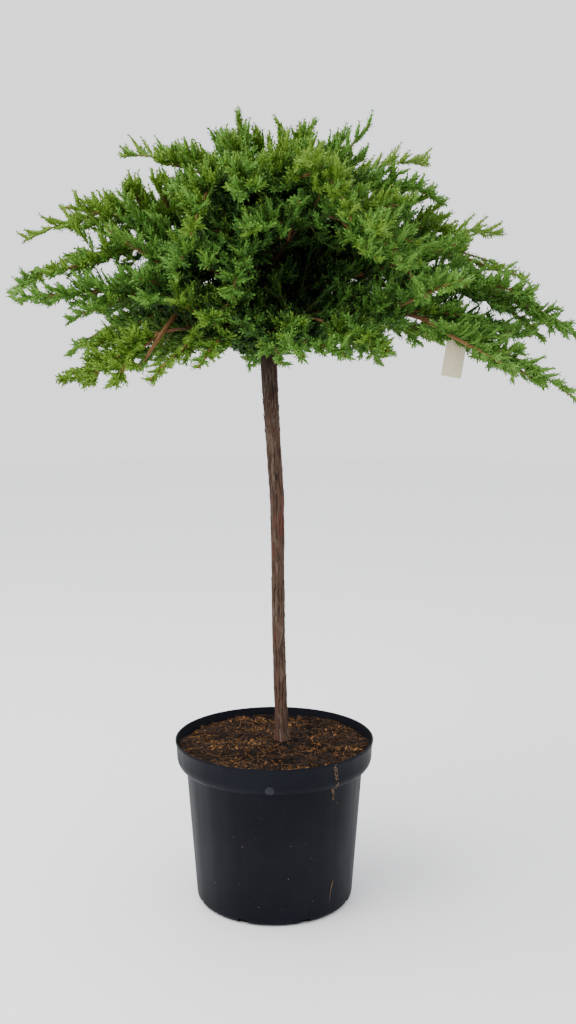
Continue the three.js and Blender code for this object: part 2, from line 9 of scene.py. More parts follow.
import bpy
import numpy as np
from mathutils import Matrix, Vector


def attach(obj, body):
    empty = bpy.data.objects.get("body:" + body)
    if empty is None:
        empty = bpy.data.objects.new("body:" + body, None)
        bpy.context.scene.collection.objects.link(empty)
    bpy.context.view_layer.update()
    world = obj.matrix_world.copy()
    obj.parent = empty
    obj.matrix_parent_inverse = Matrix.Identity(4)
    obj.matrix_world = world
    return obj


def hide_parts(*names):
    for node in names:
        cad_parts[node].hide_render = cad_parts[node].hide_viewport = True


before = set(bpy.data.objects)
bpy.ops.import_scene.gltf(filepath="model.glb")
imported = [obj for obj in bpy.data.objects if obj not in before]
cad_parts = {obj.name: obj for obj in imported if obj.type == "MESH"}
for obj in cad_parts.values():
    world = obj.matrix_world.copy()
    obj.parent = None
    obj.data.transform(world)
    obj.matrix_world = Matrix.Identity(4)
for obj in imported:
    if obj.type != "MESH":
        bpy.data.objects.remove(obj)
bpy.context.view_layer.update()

MM = 0.001
UP = np.array([0.0, 0.0, 1.0])

# Pot: its collar overhangs the body in a rounding, where it is wider by its flare than at its foot
POT_HEIGHT = 241
POT_RIM_RADIUS = 145.5
COLLAR_RADIUS = 141.5
COLLAR_HEIGHT = 42
COLLAR_FOOT = POT_HEIGHT - COLLAR_HEIGHT
COLLAR_ROUNDING = 18
COLLAR_FLARE = 1.7
BODY_TOP_RADIUS = 129.5
POT_BASE_RADIUS = 115.5
EDGE_ROUNDING = 9
FLAT_RADIUS = POT_BASE_RADIUS - EDGE_ROUNDING
POT_WALL = 2
POT_FLOOR = 3
POT_SIDES = 160
NEAR_AXIS = 0.01
DRAIN_COUNT = 8
DRAIN_WIDTH = 14
DRAIN_HEIGHT = 8
DRAIN_DROP = 0.5

# Lip of the pot: steps inward from the rim's edge and down from its top
LIP_OUTSIDE = ((1.5, 6), (0.2, 4), (0, 2.2), (0.3, 0.6), (1, 0))
LIP_INSIDE = ((1.8, 0.4), (2.3, 2))

# Blank spot on the collar: its profile has steps inward from its edge, and how proud it stands there
SPOT_AZIMUTH = 268
SPOT_HEIGHT = 210
SPOT_RADIUS = 7
SPOT_PROFILE = ((SPOT_RADIUS - NEAR_AXIS, 2.1), (1.2, 1.7), (0.4, 1.2), (0, -1.2))
SPOT_SIDES = 36

# Crumbs of soil stuck to the pot: a streak of them under the rim, some specks and two straws, which
# have an azimuth, a height, a length and a lean
STREAK_AZIMUTH = 306
STREAK_WIDTH = 2
STREAK_DRIFT = 5
STREAK_HEIGHTS = 179, 239
STREAK_LENGTHS = 1, 4
STREAK_LEAN = 50
STREAK_COUNT = 84
SPECK_HEIGHTS = 12, POT_HEIGHT - 12
SPECK_LENGTHS = 0.8, 3.2
SPECK_COUNT = 110
STRAWS = ((313.5, 46, 46, 11), (314.5, 52, 34, 19))
CRUMB_WIDTHS = 0.7, 1.2
CRUMB_DEPTH = 0.7
CRUMB_GAP = 0.1

# Soil: height by radius, bumps of a height, size and key, and how low they are close to the trunk
GROUND = 236
SOIL_MOUND = [(0, GROUND), (27, 235.5), (62, 233), (100, 231), (POT_RIM_RADIUS, 228)]
SOIL_BUMPS = ((9, 34, 1), (5, 13, 2), (2, 5.5, 3))
SOIL_CALM = (16, 31), (0.25, 1)
SOIL_FULL_RELIEF = 3
SOIL_FIELD = 400
SOIL_TOP_RADIUS = 141.7
SOIL_GAP = 0.4
SOIL_COLLAR_GAP = 0.6
SOIL_RINGS = 70
SOIL_SIDES = 180

# Chips and fibres on the soil, clear of the wall by a margin
CHIP_COUNT = 5200
CHIP_LENGTHS = 2.5, 9
CHIP_WIDTHS = 0.16, 0.4
CHIP_DEPTHS = 0.5, 1.2
CHIP_TILTS = -0.7, 1.3
CHIP_ROLL = 1.4
CHIP_HEAP = 2.2
CHIP_PATCH = 28
CHIP_PATCHINESS = 0.9
CHIP_SHARES = 0.13, 0.55
FIBRE_COUNT = 420
FIBRE_LENGTHS = 6, 24
FIBRE_BENDS = 0, 0.5
FIBRE_RISES = -0.35, 0.35
FIBRE_LIFT = 1.6
FIBRE_RADIUS = 0.35
LITTER_MARGIN = 5

# Trunk: height, middle in x and y, and radius. Its foot flares in lobes, and flakes lift off its bark
TRUNK = np.array([
    [236, 11.5, 0, 11.5],
    [250, 11, 0.5, 10],
    [290, 9.5, 1.5, 9.2],
    [385, 6.5, 3, 9.3],
    [500, 5.5, 0, 9.5],
    [590, 4.5, -2, 10],
    [680, -1.5, -0.5, 10.6],
    [780, -7, 1.5, 11.5],
    [850, -10, 1, 9.5],
    [930, -11.5, 0.5, 6.8],
    [1035, -12, 3, 2.8],
])
TRUNK_SIDES = 60
TRUNK_RING_STEP = 2.2
TRUNK_STRIPS = 12
# Painted shade of the crown on the trunk: its bark darkens with height between these two heights
TRUNK_SHADE = (600, 840), (0, 0.85)
KNOT_HEIGHT = 0.9
KNOT_LENGTH = 45
KNOTS_AROUND = 3
FLAKE_COUNT = 180
FLAKE_HEIGHTS = 261, 780
FLAKE_LENGTHS = 4, 26
FLAKE_WIDTHS = 0.8, 2.6
FLAKE_OUTLINE = np.array([0.3, 1, 0.9, 0.8, 0.25])
FLAKE_LIFTS = 0.2, 1.9
FLAKE_SWAY = 3
FLAKE_DEPTH = 0.2
FLARE_LOBES = 4
FLARE_DEPTH = 0.16
FLARE_FADE = 16

# Boughs: azimuth and sweep in degrees (0 is +X, 270 is the front), height at the trunk, how far out
# the tip lies, the height that pulls the arch up, and the height of the tip
BOUGHS = {
    "left_low_back": (156, 8, 812, 330, 915, 800),
    "left_low_front": (218, -12, 845, 325, 850, 765),
    "front_left_low": (244, 4, 822, 180, 912, 835),
    "front_low": (270, 8, 800, 200, 860, 785),
    "front_right_low": (304, 8, 818, 235, 880, 800),
    "right_low": (334, 6, 840, 443, 903, 727),
    "right_low_back": (24, 0, 822, 277, 890, 813),
    "back_low_right": (58, 0, 803, 330, 900, 780),
    "back_low": (92, 0, 820, 340, 900, 770),
    "back_low_left": (126, 0, 800, 330, 900, 780),
    "left_inner": (196, 0, 832, 290, 935, 838),
    "left_mid": (182, -8, 860, 373, 1022, 879),
    "front_arch": (240, -50, 915, 187, 1010, 909),
    "front_right_arch": (306, 10, 905, 291, 1066, 866),
    "right_long": (350, -6, 865, 430, 978, 815),
    "right_mid": (6, 6, 888, 375, 1015, 899),
    "back_mid_right": (44, 0, 853, 360, 990, 900),
    "back_mid": (76, 0, 882, 360, 1000, 890),
    "back_mid_left": (112, 0, 868, 360, 1000, 900),
    "left_high": (166, 10, 905, 367, 1060, 958),
    "right_high": (14, 0, 925, 347, 993, 971),
    "back_up_left": (135, 0, 930, 270, 1070, 1000),
    "left_top": (158, 0, 967, 240, 1094, 1083),
    "right_top": (350, 0, 950, 237, 1080, 999),
    "back_up": (96, 0, 945, 250, 1080, 1020),
    "up_front_left": (228, 0, 955, 163, 1084, 986),
    "up_front": (262, -10, 980, 200, 1060, 990),
    "up_front_right": (296, 0, 962, 225, 1127, 960),
    "right_top_back": (30, 0, 975, 267, 1085, 1077),
    "top_right": (330, 0, 1000, 149, 1030, 1099),
    "top_mid": (60, 0, 1014, 122, 1059, 1137),
    "top_left": (215, 0, 1002, 61, 1030, 1124),
}

# A bough's radius gains by its reach, up to a share of the trunk's, and swells close to the trunk
BOUGH_RADIUS = 1.8
BOUGH_GAIN = 0.006
BOUGH_TO_TRUNK = 0.45
TIP_RADIUS = 0.9
BOUGH_TAPER = 0.8
SWELLING = 0.35
SWELLING_FADE = 7
BOUGH_SIDES = 9
BOUGH_RINGS = 64
BOUGH_STRIPS = 5
BOUGH_END = 0.995
# Painted shade inside the crown: bough bark darkens towards the trunk, fading out before this share of its
# length
SHADED_SHARE = 0.75

# Boughs wander between trunk and tip, in waves of a length and with a shift from bough to bough
WANDER = 7
SIDEWAYS_WAVE = 34, 2.1
UPWARD_WAVE = 27, 1.3
UPWARD_WANDER = 0.6

# Bark: its cracks drift by an amount, over a length, with so many bends around. Relief has a depth, a
# level that is flush and a radius from which it is full
CRACK_DRIFTS = ((0.9, 45, 4), (0.4, 13, 9))
CRACK_LENGTH = 28
CRACK_DEPTH = 0.95
CRACK_SHARPNESS = 2.5
GRAIN_LENGTH = 8
GRAIN_DEPTH = 0.4
STRIP_LEVEL = 0.8
TRUNK_RELIEF = 1.5, 0.75, 9
BOUGH_RELIEF = 0.28, 0.6, 2
LEAST_RELIEF = 0.3
BARK_SHIFT = 400

# Crown outline: highest near the middle and falling with the distance out to the power given, over
# an underside that rises to the right and falls by the square of the distance out
CROWN_TOP = 1130
CROWN_FALL = 0.03
CROWN_POWER = 1.5
CROWN_MIDDLE = -20
SKIRT_TOP = 815
SKIRT_TILT = 0.09
SKIRT_FALL = 0.0005

# Growth of each order of side shoot on the one before it. A shoot is as long as its least, and longer
# by the slope for each millimetre that its parent has grown past it, up to its most. It bends up by a
# share of its length that runs over rise from the parent's root to its tip, and takes this much of
# its tint from itself rather than its parent
Growth = namedtuple("Growth", "spacing span angle lift least slope most rise own_tint")
BRANCHES = Growth(26, (0.12, 0.84), (22, 46), (-40, 55), 12, 0.55, 170, (0.1, -0.15), 0.4)
SHOOTS = Growth(10, (0.05, 0.97), (32, 60), (-60, 80), 5, 0.32, 68, (0.2, -0.05), 0.3)
INNER_SHOOTS = Growth(11, (0.05, 0.45), (50, 100), (-85, 85), 55, 0, 55, (0.2, 0.2), 0.3)
FINGERS = Growth(7, (0.06, 0.97), (34, 60), (-40, 88), 12.5, 0.3, 24, (0.5, 0.2), 0.2)
JITTER_FROM = 0.2
JITTER_SPREAD = 0.6
LEADER_SPAN = (0.3, 0.985)
LEADER_LENGTH = 22
LEADER_FROM = 0.3
SIZE_SPREAD = 0.65, 1.25
PARENT_PULL = 0.15
TRUNK_CLEARANCE = 1

# By height, the angle that branches and shoots are lifted by, and how much longer they grow
VIGOUR_HEIGHTS = (800, 920, 990, 1080)
VIGOUR_LIFT = (-36, 0, 0, 40)
VIGOUR_GROWTH = (1, 1, 1.1, 1.5)

# Branches and shoots, as tubes that taper by these shares. A branch's radius gains by its length
BRANCH_TAPER = (1, 0.97, 0.94, 0.9, 0.8, 0.6, 0.4)
BRANCH_RADIUS = 0.8
BRANCH_GAIN = 0.013
BRANCH_MOST = 3
BRANCH_SIDES = 5
SHOOT_TAPER = (1, 0.8, 0.6, 0.4)
SHOOT_RADIUS = 1.2
THIN_SIDES = 3

# Needles: in threes along every young axis, more open low on it than at its tip
NEEDLE_LENGTH = 8
NEEDLE_LENGTHS = 0.8, 1.15
NEEDLE_TIP_LENGTH = 0.6
NEEDLE_WIDTH = 2.3
NEEDLE_KEEL = 0.35
NEEDLE_WIDEST = 0.4
NEEDLE_FOOT = 0.8
WHORL = 3
WHORL_SPACING = 3
OPEN_ANGLE = 48
CLOSED_ANGLE = 38
ANGLE_SPREAD = 0.8, 1.2
CORE_RADIUS = 3
CORE_TAPER = 0.6, 1, 0.15
MOST_NEEDLES = 99000

# The stretches of boughs, branches, shoots and fingers that carry needles
NEEDLE_SPANS = (0.75, 0.94), (0.5, 0.85), (0.3, 0.6), (0.08, 1.0)

# Growth deep inside is thinned out. The sky is felt through cells of this size, step by step, in
# directions at these heights and this far apart
SKY_CELL = 22
SKY_STEPS = 14
SKY_FADE = 14
SKY_HEIGHTS = (-20, 15, 45, 80)
SKY_TURN = 45
SHADE_LIMIT = 0.2

# Tone of a needle: what the sky adds as painted light and shade, what its spray, its own axis and the
# place along it add, how far along it is neither darker nor lighter, and how much darker a finger's
# core is as painted shade
TONE_BY_SKY = 0.95
SKY_POWER = 0.85
TONE_BY_SPRAY = 0.26
TONE_BY_AXIS = 0.1
TONE_BY_TIP = 0.24
TONE_MIDDLE = 0.6
CORE_SHADE = 0.1

# Openings in the crown, middle and half sizes: the dark hollow at the front, the sky between the long
# boughs and under those on the right, the view of the bare stem, and the room that the hang tag has
OPENINGS = {
    "hollow": ((48, -175, 890), (45, 130, 46)),
    "left_upper": ((-300, 0, 960), (52, 260, 12)),
    "left_upper_end": ((-342, 0, 932), (40, 260, 14)),
    "left_lower": ((-306, 0, 836), (72, 260, 14)),
    "right_upper": ((318, 0, 944), (42, 260, 17)),
    "right_under": ((198, -80, 852), (34, 200, 9)),
    "bare_stem_high": ((-120, -145, 848), (20, 85, 20)),
    "bare_stem_middle": ((-135, -175, 824), (18, 80, 18)),
    "bare_stem_low": ((-147, -196, 802), (17, 96, 17)),
    "bare_stem_fork": ((-172, -173, 788), (7, 7, 7)),
    "tag": ((235, -200, 795), (17, 90, 36)),
}

# Plumes that fill the outline where no bough leads: bough, share along it and place of the tip
PLUMES = [
    ("left_inner", 0.5, -350, -60, 871),
    ("left_low_front", 0.66, -236, -200, 762),
    ("left_low_front", 0.62, -196, -215, 763),
    ("left_low_front", 0.28, -150, -220, 768),
    ("front_left_low", 0.35, -92, -200, 783),
    ("front_low", 0.4, 39, -220, 797),
    ("front_low", 0.3, 91, -210, 798),
    ("front_right_low", 0.5, 146, -200, 803),
    ("right_low", 0.45, 337, -30, 829),
    ("right_low", 0.3, 261, -120, 848),
    ("right_long", 0.42, 280, -75, 868),
    ("right_low", 0.66, 348, -165, 756),
    ("right_low", 0.2, 128, -78, 884),
    ("front_right_arch", 0.3, -30, -192, 952),
    ("left_inner", 0.4, -172, -125, 896),
    ("left_inner", 0.42, -166, -148, 868),
    ("front_arch", 0.72, -130, -152, 900),
    ("front_arch", 0.5, -84, -156, 908),
    ("front_arch", 0.34, -34, -158, 912),
    ("front_arch", 0.42, -50, -172, 868),
    ("left_low_front", 0.3, -122, -158, 866),
    ("up_front_left", 0.7, -102, -168, 948),
    ("front_left_low", 0.4, -88, -178, 842),
    ("left_high", 0.5, -196, -10, 1030),
    ("left_high", 0.38, -160, -20, 1032),
    ("left_top", 0.4, -166, 30, 1066),
    ("left_mid", 0.45, -244, -35, 920),
    ("top_left", 0.5, -80, -10, 1088),
    ("top_mid", 0.25, -24, -12, 1088),
    ("top_mid", 0.5, 44, 20, 1100),
    ("top_right", 0.45, 100, -25, 1092),
    ("left_inner", 0.38, -168, -178, 782),
]
PLUME_SAG = 0.12

# The last branch is a bare stem, stout and with shoots on this stretch near its end
LEAFY, BARE = slice(None, -1), slice(-1, None)
BARE_STEM_RADIUS = 4
BARE_STEM_YOUNG = (0.86, 0.97)

# Hang tag, four sevenths along the leafy stretch of its bough
TAG_BOUGH = "right_low"
LEAFY_FROM = 0.2
LEAFY_TO = 0.93
TAG_SHARE = LEAFY_FROM + (LEAFY_TO - LEAFY_FROM) * 4 / 7
TAG_WIDTH = 27
TAG_HEIGHT = 52
TAG_THICKNESS = 0.8
TAG_TILT = 9
TAG_YAW = 6
TAG_BOW = 1.2
TAG_CORNER = 2
TAG_CORNER_ROWS = np.array([0, 0, 0.3, 1, TAG_CORNER])
TAG_MIDDLE_FROM = 8
TAG_MIDDLE_ROWS = 6
TAG_COLUMNS = 9
STRAP_WIDTH = 4
STRAP_THICKNESS = 0.5
STRAP_GAP = 1
STRAP_TURNS = np.arange(-75, 256, 15)
STRAP_OVERLAP = 3
STRAP_END = 0.4

# Bark: in the shade of a strip, on it, red inner bark and outer flakes
TRUNK_COLOURS = (0.020, 0.010, 0.006), (0.066, 0.036, 0.023), (0.085, 0.028, 0.018), (0.115, 0.082, 0.060)
BOUGH_COLOURS = (0.05, 0.022, 0.012), (0.17, 0.078, 0.034), (0.15, 0.052, 0.026), (0.22, 0.155, 0.10)
FLAKE_COLOUR = (0.085, 0.056, 0.040)
BRANCH_COLOUR = (0.168, 0.084, 0.030)
SHOOT_COLOUR = (0.10, 0.085, 0.025)
TWIG_ROUGHNESS = 0.8

# Pot, soil, tag and floor. A ramp runs through its colours in order, and chips go from pale to dark
POT_COLOURS = (0.0036, 0.0042, 0.0070), (0.0064, 0.0072, 0.0110)
SPOT_COLOUR = (0.0085, 0.0105, 0.0150)
CRUMB_COLOUR = (0.150, 0.092, 0.048)
PEAT_COLOURS = (0.003, 0.0016, 0.001), (0.014, 0.006, 0.0025), (0.070, 0.030, 0.010)
FIBRE_COLOUR = (0.15, 0.070, 0.025)
CHIP_COLOURS = (0.27, 0.125, 0.040), (0.085, 0.036, 0.012), (0.020, 0.0085, 0.004)
CARD_COLOURS = (0.55, 0.48, 0.31), (0.66, 0.59, 0.42)
FLOOR_COLOURS = (0.94, 0.945, 0.95), (0.96, 0.96, 0.96)
MATT = 0.9

# Needle greens from painted deep shade to painted full light, lightest on young tips, and how a cool or a
# warm spray differs from them
NEEDLE_TONES = [
    (0.002, 0.007, 0.002),
    (0.011, 0.031, 0.004),
    (0.041, 0.100, 0.012),
    (0.069, 0.156, 0.016),
    (0.092, 0.196, 0.019),
    (0.109, 0.221, 0.022),
    (0.127, 0.241, 0.027),
    (0.153, 0.269, 0.038),
]
TINTS = {"cool": (0.91, 1.0, 1.28), "warm": (1.06, 1.0, 0.92)}
NEEDLE_ROUGHNESS = 0.62

# Room, in metres: place, size and power of each light, and the place that they are turned to
LIGHTS = {"key": ((-1.6, -1.5, 2.6), 1.6, 46), "top": ((-1.0, -0.1, 2.8), 2.0, 54)}
LIGHT_AIM = (0, 0, 0.8)
ROOM_COLOUR = (0.94, 0.95, 0.98)
ROOM_STRENGTH = 1.7
FLOOR_RADIUS = 7
FLOOR_SIDES = 96

# Camera: its place in metres, how many degrees it looks down, and its lens and sensor
CAMERA_PLACE = (0.020, -1.707, 0.809)
CAMERA_TILT = 7.84
CAMERA_LENS = 42.19
CAMERA_SENSOR = 36


def chance(a, b, c):
    """The same number between 0 and 1 for the same keys, every time."""
    wave = np.sin(a * 127.1 + b * 311.7 + c * 74.7) * 43758.5453
    return wave - np.floor(wave)


def draws(number, salt):
    """Chances for numbered things, as a function of the key of what is drawn."""
    return lambda key: chance(number, key, salt)


def mix(low, high, share):
    return low + (high - low) * share


def unit(vectors):
    return vectors / np.linalg.norm(vectors, axis=-1, keepdims=True)


def smooth_noise(u, v, columns, salt):
    """Smooth noise from 0 to 1 over u, which wraps round after 1, and v."""
    x = u * columns
    left, low = np.floor(x), np.floor(v)
    across, upward = x - left, v - low
    across = across * across * (3 - 2 * across)
    upward = upward * upward * (3 - 2 * upward)

    def corner(i, j):
        return chance((left + i) % columns, low + j, salt)

    near = mix(corner(0, 0), corner(1, 0), across)
    far = mix(corner(0, 1), corner(1, 1), across)
    return mix(near, far, upward)


def frames(direction):
    """Two directions square to each direction given."""
    across = np.cross(direction, UP)
    across = unit(across + 1e-9 * np.array([1.0, 0.0, 0.0]))
    return across, np.cross(across, direction)


# Meshes


def add_object(name, data):
    thing = bpy.data.objects.new(name, data)
    bpy.context.scene.collection.objects.link(thing)
    return thing


def new_object(name, points, faces, smooth=True):
    """A mesh object from points in millimetres, in an array of any shape, and rows of faces."""
    mesh = bpy.data.meshes.new(name)
    corners = faces.shape[1]
    mesh.vertices.add(points.size // 3)
    mesh.vertices.foreach_set("co", (points * MM).astype(np.float32).ravel())
    mesh.loops.add(faces.size)
    mesh.loops.foreach_set("vertex_index", faces.astype(np.int32).ravel())
    mesh.polygons.add(len(faces))
    mesh.polygons.foreach_set("loop_start", np.arange(0, faces.size, corners, dtype=np.int32))
    mesh.polygons.foreach_set("use_smooth", np.full(len(faces), smooth))
    mesh.update(calc_edges=True)
    return add_object(name, mesh)


def nodes_named(start):
    return [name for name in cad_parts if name.startswith(start)]


def make_piece(name, points, faces, material, nodes, smooth=True):
    piece = new_object(name, points, faces, smooth)
    piece.data.materials.append(material)
    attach(piece, "root")
    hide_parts(*nodes)
    return piece


def tube_grid(points, radii, sides):
    """Points of rings round many paths at once: paths x rings x sides."""
    along = unit(np.gradient(points, axis=1))
    across, lift = frames(along)
    turn = np.arange(sides) / sides * 2 * np.pi
    ring = across[:, :, None] * np.cos(turn)[:, None] + lift[:, :, None] * np.sin(turn)[:, None]
    return points[:, :, None] + ring * radii[:, :, None, None]


def grid_faces(paths, rings, sides):
    """Four-cornered faces over a grid of paths x rings x sides, which wraps round its sides."""
    path, ring, side = np.meshgrid(np.arange(paths), np.arange(rings - 1), np.arange(sides), indexing="ij")
    start = (path * rings + ring) * sides
    after = (side + 1) % sides
    faces = np.stack([start + side, start + after, start + sides + after, start + sides + side], -1)
    return faces.reshape(-1, 4)


def tubes(points, radii, sides):
    return tube_grid(points, radii, sides), grid_faces(*points.shape[:2], sides)


def ribbons(middles, wide, thick):
    """Flat bands along many paths at once, from their middles and their half width each way."""
    edges = (wide + thick, thick - wide, -wide - thick, wide - thick)
    return np.stack([middles + edge for edge in edges], 2), grid_faces(*middles.shape[:2], 4)


def slivers(middles, along, facing, sizes):
    """Small pointed chips with eight faces: sizes holds a length, width and thickness for each."""
    across = unit(np.cross(along, facing))
    reach = np.stack([along, across, np.cross(across, along)], 1) * sizes[:, :, None] / 2
    corners = np.stack([middles[:, None] + reach, middles[:, None] - reach], 2)
    faces = [[a, b, 4] for a, b in ((0, 2), (2, 1), (1, 3), (3, 0))]
    faces += [[b, a, 5] for a, b, _ in faces]
    return corners, (np.arange(len(middles))[:, None, None] * 6 + np.array(faces)).reshape(-1, 3)


def turned(azimuth):
    """The level direction at an azimuth in degrees."""
    turn = np.radians(azimuth)
    return np.stack([np.cos(turn), np.sin(turn), 0 * turn], -1)


# Materials


def new_material(name, roughness, specular=0.5):
    material = bpy.data.materials.new(name)
    material.use_nodes = True
    inputs = material.node_tree.nodes["Principled BSDF"].inputs
    inputs["Roughness"].default_value = roughness
    inputs["Specular IOR Level"].default_value = specular
    return material, inputs


def add_node(material, kind, **values):
    node = material.node_tree.nodes.new(kind)
    for name, value in values.items():
        node.inputs[name].default_value = value
    return node


def link(source, socket):
    socket.id_data.links.new(source, socket)


def even(level):
    """A grey of this level."""
    return level, level, level


def ramp_of(material, source, places, colours):
    """A colour ramp fed by a socket, with a colour at each place."""
    ramp = add_node(material, "ShaderNodeValToRGB")
    elements = ramp.color_ramp.elements
    while len(elements) < len(places):
        elements.new(0.5)
    for element, place, colour in zip(elements, places, colours):
        element.position = place
        element.color = (*colour, 1)
    link(source, ramp.inputs["Fac"])
    return ramp.outputs["Color"]


def noise_of(material, scale, detail, roughness, stretch=(1, 1, 1)):
    """Noise over the object's own coordinates, in metres."""
    mapping = add_node(material, "ShaderNodeMapping", Scale=stretch)
    link(add_node(material, "ShaderNodeTexCoord").outputs["Object"], mapping.inputs["Vector"])
    noise = add_node(material, "ShaderNodeTexNoise", Scale=scale, Detail=detail, Roughness=roughness)
    link(mapping.outputs["Vector"], noise.inputs["Vector"])
    return noise.outputs["Fac"]


def mixed(material, factor, first, second, blend="MIX"):
    """Two colours mixed by a socket or a number."""
    node = add_node(material, "ShaderNodeMix")
    node.data_type = "RGBA"
    node.blend_type = blend
    for number, value in ((0, factor), (6, first), (7, second)):
        if isinstance(value, bpy.types.NodeSocket):
            link(value, node.inputs[number])
        else:
            node.inputs[number].default_value = (*value, 1) if number else value
    return node.outputs[2]


def bump_of(material, inputs, height, strength, distance):
    bump = add_node(material, "ShaderNodeBump", Strength=strength, Distance=distance)
    link(height, bump.inputs["Height"])
    link(bump.outputs["Normal"], inputs["Normal"])


def plain(name, colour, roughness=MATT):
    """One colour with a faint sheen."""
    material, inputs = new_material(name, roughness, 0.2)
    inputs["Base Color"].default_value = (*colour, 1)
    return material


def attribute_of(material, name):
    node = add_node(material, "ShaderNodeAttribute")
    node.attribute_name = name
    return node.outputs["Fac"]


def bark_material(name, dark, warm, red, flake, scale):
    """Fissured bark: brown and red strips with flakes, darkened by painted shade in the cracks and inside
    the crown.
    """
    material, inputs = new_material(name, MATT, 0.25)
    strips = noise_of(material, 230 * scale, 5, 0.65, (1, 1, 0.13))
    flakes = noise_of(material, 130 * scale, 5, 0.7, (1, 1, 0.22))
    patches = noise_of(material, 34 * scale, 3, 0.6, (1, 1, 0.45))
    # Along the strips: painted shade where they are low and painted light where they are highest
    brown = ramp_of(material, strips, (0.33, 0.5, 0.7), (dark, warm, tuple(c * 1.5 for c in warm)))
    is_red = ramp_of(material, patches, (0.5, 0.6), (even(0), even(0.8)))
    is_flake = ramp_of(material, flakes, (0.53, 0.6), (even(0), even(0.85)))
    colour = mixed(material, is_flake, mixed(material, is_red, brown, red), flake)
    relief = attribute_of(material, "relief")
    # Painted shade in the cracks: the bark darkens where its relief is low
    crack = ramp_of(material, relief, (0.15, 0.6), ((0.2, 0.16, 0.14), even(1)))
    colour = mixed(material, 1.0, colour, crack, "MULTIPLY")
    # Painted shade inside the crown, high on the trunk and near the roots of the boughs
    old = ramp_of(material, attribute_of(material, "crown_shade"), (0.3, 0.8), (even(1), (0.14, 0.13, 0.13)))
    colour = mixed(material, 1.0, colour, old, "MULTIPLY")
    link(colour, inputs["Base Color"])
    bump_of(material, inputs, strips, 0.8, 0.0012)
    return material


def pot_material():
    """Moulded black plastic with a soft sheen, faint upright streaks and a little dust."""
    material, inputs = new_material("pot_plastic", 0.4, 0.062)
    dust = noise_of(material, 9, 6, 0.7)
    streaks = noise_of(material, 38, 4, 0.6, (1, 1, 0.06))
    link(ramp_of(material, dust, (0.42, 0.75), POT_COLOURS), inputs["Base Color"])
    shine = ramp_of(material, streaks, (0.3, 0.7), (even(0.42), even(0.56)))
    link(shine, inputs["Roughness"])
    bump_of(material, inputs, noise_of(material, 420, 3, 0.5), 0.1, 0.0006)
    return material


def soil_material():
    """Moist peat: near black between the crumbs, brown on them, and darkened by painted shade where the
    soil lies low.
    """
    material, inputs = new_material("peat", 0.95, 0.2)
    crumbs = noise_of(material, 230, 6, 0.75)
    brown = ramp_of(material, crumbs, (0.40, 0.54, 0.68), PEAT_COLOURS)
    relief = attribute_of(material, "relief")
    # Painted shade: the peat darkens where the soil's relief is low
    pits = ramp_of(material, relief, (0.25, 0.6), ((0.08, 0.07, 0.06), even(1)))
    link(mixed(material, 1.0, brown, pits, "MULTIPLY"), inputs["Base Color"])
    bump_of(material, inputs, crumbs, 1.0, 0.003)
    return material


def card_material():
    """Plain pale card with a faint fibre."""
    material, inputs = new_material("tag_card", 0.75)
    fibre = noise_of(material, 300, 5, 0.7)
    link(ramp_of(material, fibre, (0.3, 0.7), CARD_COLOURS), inputs["Base Color"])
    bump_of(material, inputs, fibre, 0.2, 0.0003)
    return material


def floor_material():
    material, inputs = new_material("pale_floor", 0.6)
    cloud = noise_of(material, 1.4, 2, 0.5)
    link(ramp_of(material, cloud, (0.3, 0.7), FLOOR_COLOURS), inputs["Base Color"])
    return material


# Trunk and boughs


def trunk_centre(height):
    x = np.interp(height, TRUNK[:, 0], TRUNK[:, 1])
    y = np.interp(height, TRUNK[:, 0], TRUNK[:, 2])
    return np.stack([x, y, np.broadcast_to(height, x.shape)], -1)


def trunk_radius(height):
    return np.interp(height, TRUNK[:, 0], TRUNK[:, 3])


AZIMUTH, SWEEP, BASE, REACH, CREST, TIP = np.array(list(BOUGHS.values()), float).T
EVERY_BOUGH = np.arange(len(BOUGHS))


def wave(owner, share, length, shift):
    return np.sin(REACH[owner] * share / length + shift * owner)


def bough_point(owner, share):
    """Places on boughs: share 0 is the middle of the trunk and 1 is the tip."""
    sway = np.sin(np.pi * np.clip(share, 0, 1)) ** 2 * WANDER
    turn = np.radians(AZIMUTH[owner] + SWEEP[owner] * (share - 0.5))
    turn = turn + sway * wave(owner, share, *SIDEWAYS_WAVE) / REACH[owner]
    start = trunk_centre(BASE[owner])
    rest = 1 - share
    return np.stack([
        start[..., 0] * rest + REACH[owner] * share * np.cos(turn),
        start[..., 1] * rest + REACH[owner] * share * np.sin(turn),
        rest * rest * BASE[owner] + 2 * share * rest * CREST[owner] + share * share * TIP[owner]
        + UPWARD_WANDER * sway * wave(owner, share, *UPWARD_WAVE),
    ], -1)


def bough_place(owner, share):
    step = 0.01
    ahead, behind = bough_point(owner, share + step), bough_point(owner, share - step)
    return bough_point(owner, share), unit(ahead - behind)


def bough_radius(owner, share):
    full = BOUGH_RADIUS + BOUGH_GAIN * REACH[owner]
    thick = np.minimum(full, BOUGH_TO_TRUNK * trunk_radius(BASE[owner]))
    return mix(thick, TIP_RADIUS, np.maximum(share, 0) ** BOUGH_TAPER)


